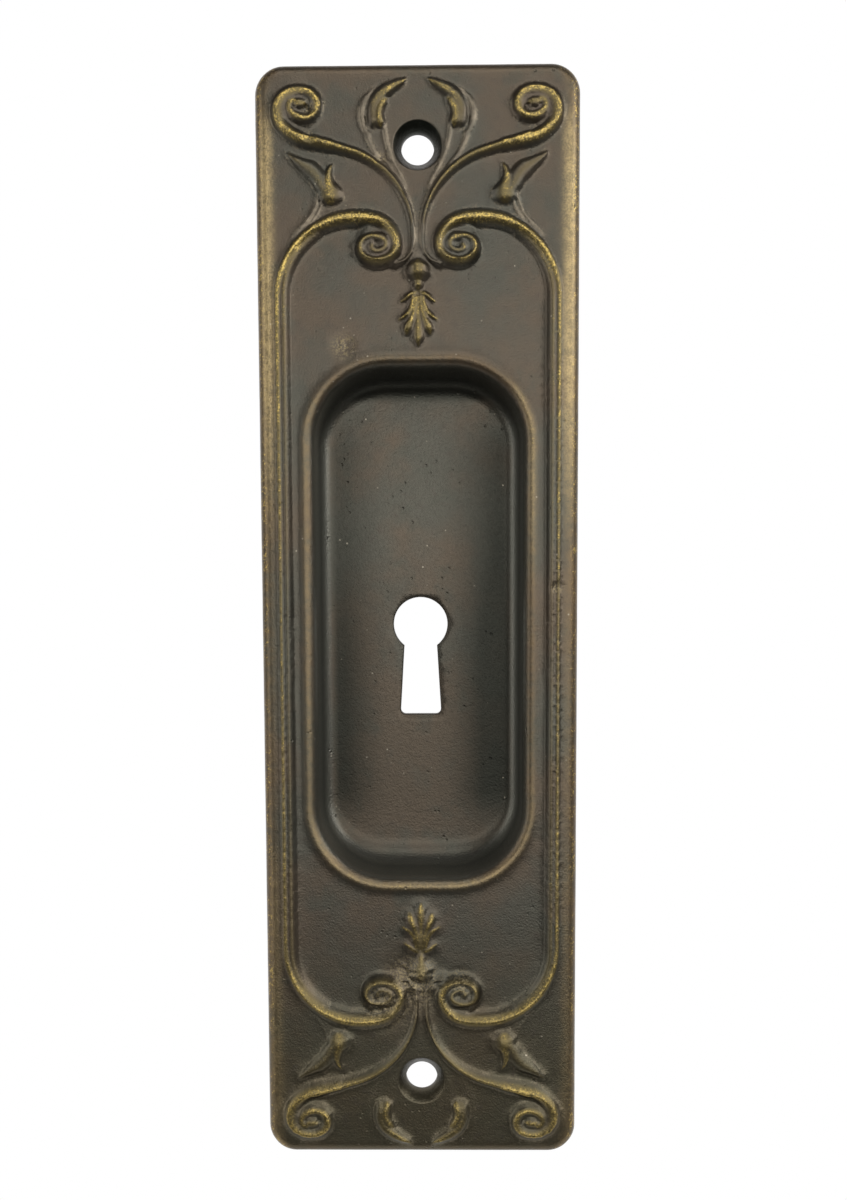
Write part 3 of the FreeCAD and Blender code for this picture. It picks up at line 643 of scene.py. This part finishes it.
def add_skin(outer, inner_loops, numbers, facing=1):
    """Triangles over the numbered points, inside the outer loop and outside the inner ones."""
    loops = [outer] + inner_loops
    order = [index for loop in loops for index in loop] + list(numbers)
    local = {index: place for place, index in enumerate(order)}
    rims = [(local[begin], local[finish])
            for loop in loops for begin, finish in zip(loop, loop[1:] + loop[:1])]
    flat = [points[index][:2] for index in order]
    spots, _, triangles, origins, _, _ = delaunay_2d_cdt(flat, rims, [], 0, SAME_SPOT)
    spots, triangles = np.array(spots), np.array(triangles)
    triangles = triangles[between(spots[triangles].mean(axis=1), outer, inner_loops)]
    first, second, third = (spots[triangles[:, corner]] for corner in range(3))
    leg, arm = second - first, third - first
    for triangle, size in zip(triangles, leg[:, 0] * arm[:, 1] - leg[:, 1] * arm[:, 0]):
        corners = [order[origins[place][0]] for place in triangle]
        faces.append(tuple(corners) if size * facing > 0 else tuple(corners[::-1]))


face_numbers = add_points(skin_spots, face_rise(skin_spots))
add_skin(plate_front, [cup_mouth] + screw_fronts, face_numbers)

# The floor of the cup and the plain faces behind need few points.
FLOOR_SPACING = 1.1
FLOOR_GAP = 0.55
BACK_SPACING = 4.0
BACK_GAP = 1.5


def spread(outer, inner_loops, spacing, rise, gap):
    """Points spread inside a loop, clear of the loops by the gap."""
    box = np.array([points[index][:2] for index in outer])
    spots = scattered(*np.column_stack((box.min(axis=0), box.max(axis=0))).ravel(), spacing)
    rims = np.array([points[index][:2] for loop in [outer] + inner_loops for index in loop])
    clear = np.array([np.hypot(*(rims - spot).T).min() > gap for spot in spots])
    return add_points(spots[between(spots, outer, inner_loops) & clear], rise)


floor_numbers = spread(floor_edge, [keyhole_front], FLOOR_SPACING, CUP_FLOOR, FLOOR_GAP)
add_skin(floor_edge, [keyhole_front], floor_numbers)
add_skin(rim_outer, [rim_inner], [], -1)
for outer, inner_loops, rise in ((hollow_edge, [skin_rings[0]] + boss_feet, HOLLOW_RISE),
                                 (skin_rings[-1], [keyhole_rear], CUP_BACK)):
    add_skin(outer, inner_loops, spread(outer, inner_loops, BACK_SPACING, rise, BACK_GAP), -1)
for top, hole in zip(boss_tops, screw_rears):
    add_skin(top, [hole], [], -1)

casting_mesh = bpy.data.meshes.new("cast_pull_bronze")
casting_mesh.from_pydata(points, [], faces)

# Where the casting is rough, softened, rubbed, browned, dark or painted with light and shade, kept for each
# of its points. Places are in mm from the middle of the plate, or inwards from the edge, wall or mouth that
# is named.
x, y, z = np.array(points).T
beside = np.abs(x)
flat = np.column_stack((x, y))
outside = -depth_inside(flat, *CUP)
from_edge = depth_inside(flat, *PLATE)
from_side = CUP_HALF_WIDTH - beside
on_front = np.zeros(len(points))
on_front[face_numbers] = 1
tell(casting_mesh, "on_front", on_front)
rough = np.max([smooth(np.hypot(x - centre_x, y - centre_y) / radius, 1, 0)
                for centre_x, centre_y, radius in ROUGH_PLACES], axis=0)
tell(casting_mesh, "rough_place", rough * (z >= -3))
# The lower end is worn softer than the upper one, its drop most of all
DROP_MIDDLE = -57
drop = smooth(beside, 6, 3.5) * smooth(np.abs(y - DROP_MIDDLE), 10.5, 8)
reed_softness = 0.25 + 0.3 * smooth(beside, 20, 22)
tell(casting_mesh, "worn_soft", np.maximum(reed_softness * smooth(y, -20, -45), 0.9 * drop))
# The lip is rubbed bright down the sides and along the bottom, the right side most: partly wear where fingers
# pull, partly painted light
lip_crest = np.exp(-((outside - 0.8) / 0.6) ** 2)
lip_sides_worn_and_lit = smooth(beside, 15, 18) * np.where(x < 0, 0.25, 0.75 * smooth(y, 2, 26))
lip_worn_and_lit = np.maximum(0.75 * smooth(y, -15, -50), lip_sides_worn_and_lit)
tell(casting_mesh, "lip_rubbed", lip_crest * (0.05 + 0.55 * lip_worn_and_lit) * (z > -2.2))
# Painted light on the top of the cup's wall, less near its upper end
wall_top = smooth(outside, 0, -0.8) * smooth(outside, -2.8, -1.1)
tell(casting_mesh, "cup_wall", (1 - 0.35 * smooth(y, 28, 40)) * wall_top * (z < -0.8))
# Painted shade, over dark patina, lies darkest in the cup along its sides, towards its right and lower part
# and under its upper end
lower_part = smooth(y, 25, -10)
shaded = (0.6 + 0.15 * lower_part) * smooth(from_side, 14, 3) + 0.2 * lower_part + 0.25 * smooth(x, 1, 9)
shaded = np.clip(shaded * smooth(from_side, 0.8, 4.2), 0, 0.9) * (1 - 0.6 * smooth(np.abs(y), 30, 39))
shaded = np.maximum(shaded, 0.8 * smooth(CUP_HALF_HEIGHT - y, 5.8, 4))
tell(casting_mesh, "cup_shade", shaded * smooth(outside, -0.9, -1.7) * (z < -5))
# The patina turns brown at the plate's edges and on the lip
outer_edge = smooth(from_edge, 2.9, 0.3) * np.where(beside > 24, 1, 0.45)
lip_band = 0.55 * np.exp(-((outside - 0.6) / 0.9) ** 2)
tell(casting_mesh, "browned_edge", np.maximum(outer_edge, lip_band) * (z > -3))
# Its long sides are rubbed pale in a band inside the edge, the upper left most, partly a painted highlight
# from the side lights
side_band = np.exp(-(beside - 25.9) ** 2)
upper_share = np.where(x < 0, 1.3, 1.0) * smooth(y, 5, 50) * smooth(y, 90, 82)
lower_share = np.where(x < 0, 0.4, 0.2) * smooth(y, -30, -50)
side_share = np.maximum(np.maximum(upper_share, lower_share), 0.1)
tell(casting_mesh, "edge_rubbed", side_band * side_share * (z > -2))
# Painted shade in the countersinks, mostly in their upper part, which faces down, and less in the lower hole
in_screw_hole = (np.hypot(x, np.abs(y) - SCREW_Y) < COUNTERSINK_RADIUS + 0.05) * (z < -0.05)
countersink_painted_shade = 0.25 + 0.75 * smooth(y - np.copysign(SCREW_Y, y), -4.4, 3.6)
tell(casting_mesh, "screw_hole", in_screw_hole * countersink_painted_shade * np.where(y > 0, 1, 0.4))

# Cast bronze, a copper alloy that sand casting leaves faintly uneven. Long use and chemical browning
# gave it a dark brown patina, nearly black green in the hollows; hands have rubbed the crests of the
# ornament, the lip and the edges back to yellow metal, which shines where the patina is dull. Light and
# shade are also painted on the lip, the long edges, the cup and the countersinks.
MM_SCALE = 1000.0


def linear(hex_colour):
    """sRGB hex to linear RGBA."""
    channels = [int(hex_colour[start:start + 2], 16) / 255 for start in (1, 3, 5)]
    return [c / 12.92 if c <= 0.04045 else ((c + 0.055) / 1.055) ** 2.4 for c in channels] + [1.0]


def add(tree, kind, inputs=(), **settings):
    """Adds a node, its kind given without its family's name, with its settings and links. Its inputs are
    given in order, or by name; each is a value, a hex colour, a socket, a node whose first output feeds
    it, or a list of those that feed it."""
    families = (tree.bl_idname[:-4], "ShaderNode", "FunctionNode", "")
    node = tree.nodes.new(next(family + kind for family in families if hasattr(bpy.types, family + kind)))
    for name, value in settings.items():
        setattr(node, name, value)
    sockets = [each for each in node.inputs if each.enabled]
    if isinstance(inputs, dict):
        sockets = [next(each for each in sockets if each.name == name) for name in inputs]
        inputs = inputs.values()
    for socket, value in zip(sockets, inputs):
        for source in value if isinstance(value, list) else [value]:
            if isinstance(source, bpy.types.Node):
                source = next(each for each in source.outputs if each.enabled)
            if isinstance(source, bpy.types.NodeSocket):
                tree.links.new(source, socket)
            else:
                is_colour = isinstance(source, str) and source.startswith("#")
                socket.default_value = linear(source) if is_colour else source
    return node


def joined(tree, operation, *parts):
    """Joins its parts by an operation. A part is a value, or a value with the low and high between which
    it is eased from 0 to 1, or from a start to an end."""
    result = None
    for part in parts:
        if isinstance(part, tuple):
            part = add(tree, "MapRange", part, interpolation_type="SMOOTHSTEP")
        result = part if result is None else add(tree, "Math", (result, part), operation=operation)
    return result


bronze = bpy.data.materials.new("patinated_cast_bronze")
bronze.use_nodes = True
shade = bronze.node_tree
shade.nodes.clear()
place = add(shade, "Mapping", {
    "Vector": add(shade, "TexCoord").outputs["Object"], "Scale": (MM_SCALE,) * 3})
height = add(shade, "SeparateXYZ", (place,)).outputs["Z"]
from_middle = add(shade, "Math", (height,), operation="ABSOLUTE")
told = {name: add(shade, "Attribute", attribute_name=name).outputs["Fac"] for name in (
    "convexity", "crest_share", "ornament_rise", "lip_rubbed", "cup_wall", "cup_shade", "browned_edge",
    "edge_rubbed", "screw_hole", "rough_place")}
# Blotches of about 16 mm, patches of 6 mm, mottle of 1.6 mm and grain of 0.35 mm
blotch, patch, mottle, grain = (
    add(shade, "TexNoise", (place, 1 / size, detail, roughness))
    for size, detail, roughness in ((16, 3, 0.55), (6, 4, 0.6), (1.6, 4, 0.65), (0.35, 2, 0.6)))
# Grit that has scratched the patina every 2 mm or so, and sand pits a little over 1 mm apart
grit, pits = (add(shade, "TexVoronoi", (place, 1 / size)) for size in (2.2, 1.4))
fine_mottle = joined(shade, "ADD", mottle, grain)
edges_wear_and_painted_light = joined(shade, "MAXIMUM", told["edge_rubbed"], told["lip_rubbed"])

# The patina's layers over its green brown ground: the colour of each, and shares to be multiplied
patina = "#4a4840"
for layer_colour, *shares in (
        ("#52493e", (blotch, 0.38, 0.62)),
        ("#45453d", (patch, 0.5, 0.72, 0, 0.6)),
        ("#504a38", (height, -50, -85, 0, 0.6)),
        ("#47413a", (mottle, 0.5, 0.75, 0, 0.45)),
        # Painted shade on the sides and floor of the cup over its dark patina, and painted light on its
        # wall's top
        ("#1f201b", told["cup_shade"]),
        ("#72726a", told["cup_wall"]),
        # Browned edges, and the tan where they are rubbed, partly painted light on the long sides and the lip
        ("#6e593c", told["browned_edge"], (mottle, 0.3, 0.7, 0.2, 0.7)),
        ("#a08d66", edges_wear_and_painted_light, (fine_mottle, 0.75, 1.25, 0.4, 1)),
        # Dark hollows and olive crests of the ornament, and its pale tendrils
        ("#24251f", (told["convexity"], -0.05, -0.35, 0, 0.25)),
        ("#675b3b", (told["crest_share"], 0.15, 0.65, 0, 0.85)),
        ("#7b7161", (told["crest_share"], -0.05, -0.4), (mottle, 0.35, 0.65, 0.25, 0.75)),
        # Crumbled places, and dust along the foot of the ornament at both ends
        ("#85785a", told["rough_place"], (grain, 0.45, 0.6, 0, 0.65)),
        ("#7f7460", (told["ornament_rise"], 0.01, 0.08), (told["ornament_rise"], 0.12, 0.4, 1, 0),
         (fine_mottle, 0.98, 1.2, 0, 0.32), (from_middle, 60, 70)),
        # Pale specks a fifth of a millimetre across, and painted shade in the screw holes
        ("#98907f", (grit.outputs["Distance"], 0.04, 0.1, 0.6, 0), (mottle, 0.48, 0.62)),
        ("#1c1f19", told["screw_hole"])):
    share = joined(shade, "MULTIPLY", *shares)
    patina = add(shade, "Mix", (share, patina, layer_colour), data_type="RGBA")

# Bare yellow metal on the crests and the lip, with painted light on the lip, duller at the lower end, and in
# flecks on the edges
uneven = joined(shade, "ADD", (patch, 0.3, 0.7, -0.3, 0.25), (mottle, 0.3, 0.7, -0.25, 0.25),
                (grain, 0.3, 0.7, -0.7, 0.55))
touched_and_lit = joined(shade, "ADD", joined(shade, "MAXIMUM", told["crest_share"], told["lip_rubbed"]),
                 joined(shade, "MULTIPLY", uneven, 0.4))
rubbed_and_lit_metal = joined(shade, "MULTIPLY", (touched_and_lit, 0.5, 1.15, 0, 0.95), (height, -85, 30, 0.62, 1))
flecked = joined(shade, "ADD", uneven, (grain, 0.5, 0.8, 0, 0.3))
flecks = joined(shade, "MULTIPLY", (told["browned_edge"], 0.5, 0.9), (flecked, 0.35, 0.7), 0.6)
bare_metal_and_painted_light = joined(shade, "MAXIMUM", rubbed_and_lit_metal, flecks)
gloss = joined(shade, "ADD", (bare_metal_and_painted_light, 0, 1, 0.37, 0.28), (grain, 0.2, 0.8, -0.06, 0.06))
# The sand pits lie in patches
pit_depth = joined(shade, "MULTIPLY", (pits.outputs["Distance"], 0.05, 0.24, -1.6, 0), (patch, 0.52, 0.66))
skin_height = joined(shade, "ADD", grain, joined(shade, "MULTIPLY", mottle, 0.8), pit_depth)
body = add(shade, "BsdfPrincipled", {
    "Base Color": add(shade, "Mix", (bare_metal_and_painted_light, patina, "#bfa55d"), data_type="RGBA"),
    "Roughness": gloss, "Metallic": 0.9,
    "Normal": add(shade, "Bump", {"Height": skin_height, "Strength": 0.5, "Distance": 0.00011})})
add(shade, "OutputMaterial", {"Surface": body})

# Raising the ornament: each stroke's flanks are swept along its line, repeated in the four quarters,
# and the skin of the face is lifted to them. The whole casting then gets the faint swell and the
# crumbled places that sand leaves, and learns how far each spot stands proud, for the dark hollows.
carving = bpy.data.node_groups.new("raise_ornament", "GeometryNodeTree")
identifiers = {}
for name, kind, default in (
        ("Casting", "Geometry", None), ("Ornament Lines", "Object", None),
        ("Lower Shift", "Float", LOWER_SHIFT), ("Flank Steps", "Int", 21), ("Flank Reach", "Float", 1.3),
        ("Blend", "Float", 0.13),
        ("Swell", "Float", 0.06), ("Swell Size", "Float", 7.0), ("Crumble", "Float", 0.65),
        ("Crumble Size", "Float", 0.8), ("Seed", "Float", 4.0), ("Bronze", "Material", None)):
    socket = carving.interface.new_socket(name, in_out="INPUT", socket_type="NodeSocket" + kind)
    if default is not None:
        socket.default_value = default
    identifiers[name] = socket.identifier
carving.interface.new_socket("Casting", in_out="OUTPUT", socket_type="NodeSocketGeometry")
given = add(carving, "NodeGroupInput").outputs
here = add(carving, "InputPosition")
parts_here = add(carving, "SeparateXYZ", (here,)).outputs
normal = add(carving, "InputNormal")
named = {name: add(carving, "InputNamedAttribute", (name,), data_type=kind) for kind, names in (
    ("FLOAT", STROKE_VALUES + ("across", "crest_share", "on_front", "rough_place", "worn_soft")),
    ("FLOAT_VECTOR", ("sideways", "crest"))) for name in names}

# Each line keeps its place and its sideways direction, and a section from -1 to 1 is swept along it
lines = add(carving, "ObjectInfo", {"Object": given["Ornament Lines"]}).outputs["Geometry"]
kept = add(carving, "MeshToCurve", {"Mesh": lines})
sideways = add(carving, "VectorMath", ((0, 0, 1), add(carving, "InputTangent")),
               operation="CROSS_PRODUCT")
for name, value in (("sideways", sideways), ("crest", here)):
    kept = add(carving, "StoreNamedAttribute", (kept, True, name, value), data_type="FLOAT_VECTOR")
section = add(carving, "ResampleCurve", {
    "Curve": add(carving, "CurvePrimitiveLine", {"Start": (-1, 0, 0), "End": (1, 0, 0)}),
    "Count": given["Flank Steps"]})
section = add(carving, "StoreNamedAttribute", (section, True, "across", parts_here["X"]), data_type="FLOAT")
swept = add(carving, "CurveToMesh", {"Curve": kept, "Profile Curve": section})

# The flanks fall from the crest to the ground on their side, as the fullness says
is_left = add(carving, "Compare", (named["across"], 0.0), operation="GREATER_THAN")
width, foot = (add(carving, "Switch", (is_left, named["right_" + what], named["left_" + what]),
                   input_type="FLOAT") for what in ("width", "ground"))
stretched = joined(carving, "MULTIPLY", named["across"], given["Flank Reach"])
aside = add(carving, "VectorMath", (named["sideways"], joined(carving, "MULTIPLY", stretched, width)),
            operation="SCALE")
away = add(carving, "Math", (stretched,), operation="ABSOLUTE")
level = add(carving, "Math", (
    joined(carving, "POWER", away, named["fullness"]), joined(carving, "SUBTRACT", foot, named["rise"]),
    named["rise"]), operation="MULTIPLY_ADD")
lifted = add(carving, "VectorMath", (
    add(carving, "VectorMath", (named["crest"], aside), operation="ADD"),
    add(carving, "CombineXYZ", {"Z": level})), operation="ADD")
nearness = add(carving, "Math", (1.0, away), operation="SUBTRACT", use_clamp=True)
nearness = joined(carving, "MULTIPLY", nearness, named["worn"])
swept = add(carving, "StoreNamedAttribute", (swept, True, "crest_share", nearness), data_type="FLOAT")
flanks = add(carving, "SetPosition", {"Geometry": swept, "Position": lifted})
mirrored = add(carving, "Transform", {"Geometry": flanks, "Scale": (-1, 1, 1)})
upper_pair = add(carving, "JoinGeometry", ([flanks, mirrored],))
lower_pair = add(carving, "Transform", {
    "Geometry": upper_pair, "Scale": (1, -1, 1), "Translation": add(carving, "CombineXYZ", {
        "Y": joined(carving, "MULTIPLY", given["Lower Shift"], -1.0)})})
ornament = add(carving, "JoinGeometry", ([upper_pair, lower_pair],))

# The face is lifted to the flanks above it, with a soft join where they meet the ground
above = add(carving, "VectorMath", (here, (0, 0, 10)), operation="ADD")
seen = add(carving, "Raycast", {
    "Target Geometry": ornament, "Source Position": above, "Ray Direction": (0, 0, -1), "Ray Length": 20.0,
    "Attribute": named["crest_share"]}, data_type="FLOAT")
seen_share = seen.outputs["Attribute"]
top = add(carving, "SeparateXYZ", (seen.outputs["Hit Position"],)).outputs["Z"]
gain = joined(carving, "SUBTRACT", top, parts_here["Z"])
blend_square = joined(carving, "MULTIPLY", given["Blend"], given["Blend"])
root = add(carving, "Math", (
    add(carving, "Math", (gain, gain, blend_square), operation="MULTIPLY_ADD"),), operation="SQRT")
eased = joined(carving, "MULTIPLY", joined(carving, "ADD", gain, root), 0.5)
raised = add(carving, "Switch", (seen.outputs["Is Hit"], 0.0, eased), input_type="FLOAT")
# The pale tendrils are nearly worn away on the lower end
is_pale = add(carving, "Compare", (seen_share, -0.01), operation="LESS_THAN")
is_low = add(carving, "Compare", (parts_here["Y"], 0.0), operation="LESS_THAN")
is_worn_away = add(carving, "BooleanMath", (is_pale, is_low), operation="AND")
kept_share = add(carving, "Switch", (is_worn_away, 1.0, 0.15), input_type="FLOAT")
raised = joined(carving, "MULTIPLY", raised, named["on_front"], kept_share)
keen, blunt = (add(carving, "BlurAttribute", (raised, times, weight), data_type="FLOAT")
               for times, weight in ((1, 0.5), (6, 1.0)))
softened = add(carving, "Mix", (named["worn_soft"], keen, blunt), data_type="FLOAT")
is_raised = add(carving, "Compare", (raised, 0.12), operation="GREATER_THAN")
on_crest = add(carving, "Switch", (is_raised, 0.0, seen_share), input_type="FLOAT")
on_crest = add(carving, "BlurAttribute", (on_crest, 1, 0.5), data_type="FLOAT")
marked = given["Casting"]
for name, value in (("crest_share", on_crest), ("ornament_rise", softened)):
    marked = add(carving, "StoreNamedAttribute", (marked, True, name, value), data_type="FLOAT")
carved = add(carving, "SetPosition", {
    "Geometry": marked, "Offset": add(carving, "CombineXYZ", {"Z": softened})})

# Swell and crumbled places
seed = add(carving, "CombineXYZ", {"X": given["Seed"]})
spot = add(carving, "VectorMath", (here, seed), operation="ADD")
swell, crumble = (add(carving, "TexNoise", {
    "Vector": spot, "Detail": detail, "Scale": joined(carving, "DIVIDE", 1.0, given[name + " Size"])})
    for name, detail in (("Swell", 2.0), ("Crumble", 3.0)))
sunk_by = joined(carving, "ADD", joined(carving, "MULTIPLY", swell, given["Swell"]),
                 joined(carving, "MULTIPLY", crumble, given["Crumble"], named["rough_place"]))
inward = add(carving, "VectorMath", (normal, joined(carving, "MULTIPLY", sunk_by, -1.0)),
             operation="SCALE")
sunk = add(carving, "SetPosition", {"Geometry": carved, "Offset": inward})
around = add(carving, "BlurAttribute", (here, 6, 1.0), data_type="FLOAT_VECTOR")
proud = add(carving, "VectorMath", (
    add(carving, "VectorMath", (here, around), operation="SUBTRACT"), normal), operation="DOT_PRODUCT")
learned = add(carving, "StoreNamedAttribute", (sunk, True, "convexity", proud), data_type="FLOAT")
finished = add(carving, "SetMaterial", {
    "Geometry": add(carving, "RealizeInstances", (learned,)), "Material": given["Bronze"]})
add(carving, "NodeGroupOutput", (finished,))

casting = put("cast_pull_bronze", casting_mesh)
raising = casting.modifiers.new("raise_ornament", "NODES")
raising.node_group = carving
raising[identifiers["Ornament Lines"]] = ornament_lines
raising[identifiers["Bronze"]] = bronze
raised_mesh = bpy.data.meshes.new_from_object(casting.evaluated_get(bpy.context.evaluated_depsgraph_get()))
casting.modifiers.remove(raising)
casting.data = raised_mesh
bpy.data.objects.remove(ornament_lines)
# From the drawing's millimetres to metres, with the plate stood up and its back on the door
places = np.empty(len(raised_mesh.vertices) * 3)
raised_mesh.vertices.foreach_get("co", places)
x, y, z = places.reshape(-1, 3).T
raised_mesh.vertices.foreach_set("co", (np.column_stack((x, -PLATE_THICKNESS - z, y)) / MM_SCALE).ravel())
raised_mesh.shade_smooth()
raised_mesh.set_sharp_from_angle(angle=math.radians(55))
raised_mesh.update()
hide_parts("cast_pull")
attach(casting, "root")

# Floor and backdrop: one plain white sweep of card, which shows white to the eye and in the metal.
FLOOR_Z = -0.17
FLOOR_FRONT = -0.06
BACKDROP_Y = 0.25
BACKDROP_TOP = 1.2
SWEEP_RADIUS = 0.12
SWEEP_HALF_WIDTH = 1.2
sweep_line = [(FLOOR_FRONT, FLOOR_Z)]
for turn in np.radians(np.arange(0, 91, 9)):
    sweep_line.append((BACKDROP_Y - SWEEP_RADIUS + SWEEP_RADIUS * math.sin(turn),
                       FLOOR_Z + SWEEP_RADIUS * (1 - math.cos(turn))))
sweep_line.append((BACKDROP_Y, BACKDROP_TOP))
sweep_mesh = bpy.data.meshes.new("white_sweep")
sweep_mesh.from_pydata([(side * SWEEP_HALF_WIDTH, y, z) for y, z in sweep_line for side in (-1, 1)], [],
                       [(edge, edge + 1, edge + 3, edge + 2)
                        for edge in range(0, 2 * len(sweep_line) - 2, 2)])
sweep_mesh.shade_smooth()
white_sweep = put("white_sweep", sweep_mesh)
card = bpy.data.materials.new("white_card")
card.use_nodes = True
card_tree = card.node_tree
card_tree.nodes.clear()
rays = add(card_tree, "LightPath").outputs
shown = joined(card_tree, "MAXIMUM", rays["Is Camera Ray"], rays["Is Glossy Ray"],
               rays["Is Transmission Ray"])
card_paint = add(card_tree, "BsdfPrincipled", {"Base Color": "#f4f4f4", "Roughness": 0.9})
card_glow = add(card_tree, "Emission", {"Color": (1, 1, 1, 1), "Strength": 1.0})
add(card_tree, "OutputMaterial", {
    "Surface": add(card_tree, "MixShader", (shown, card_paint, card_glow))})
sweep_mesh.materials.append(card)

# Studio: a wide white cloth in front, which the flat metal mirrors, a soft light above it and one on
# each side, the right one higher and stronger, in a dim even room.
scene = bpy.context.scene
scene.world = bpy.data.worlds.new("even_room")
scene.world.use_nodes = True
room_light = scene.world.node_tree.nodes["Background"].inputs
room_light["Color"].default_value = (1, 1, 1, 1)
room_light["Strength"].default_value = 0.1
# Place, width, height and power
LIGHTS = {"cloth_in_front": ((0.23, -0.85, 0.04), 1.3, 0.6, 5.8),
          "light_above": ((0.05, -0.48, 0.53), 0.6, 0.38, 1.8),
          "light_left": ((-0.75, -0.4, 0.1), 0.5, 0.9, 2.8),
          "light_right": ((0.75, -0.35, 0.34), 0.5, 0.6, 3.8)}
for name, (location, *measures) in LIGHTS.items():
    lamp = bpy.data.lights.new(name, "AREA")
    lamp.shape = "RECTANGLE"
    lamp.size, lamp.size_y, lamp.energy = measures
    holder = put(name, lamp)
    holder.location = location
    holder.rotation_euler = (-holder.location).to_track_quat("-Z", "Y").to_euler()

# Camera: close in front of the plate, a little above its middle and tilted down, which makes the
# upper end look wider than the lower one.
camera_data = bpy.data.cameras.new("camera")
camera_data.lens = 35.68
camera_data.sensor_width = 36.0
camera_data.shift_y = 0.0564
camera_data.clip_start = 0.01
camera = put("camera", camera_data)
camera.location = (0.00326, -0.21124, 0.00903)
camera.rotation_euler = (math.radians(85.546), math.radians(0.249), math.radians(0.700))
scene.camera = camera
scene.view_settings.view_transform = "Standard"
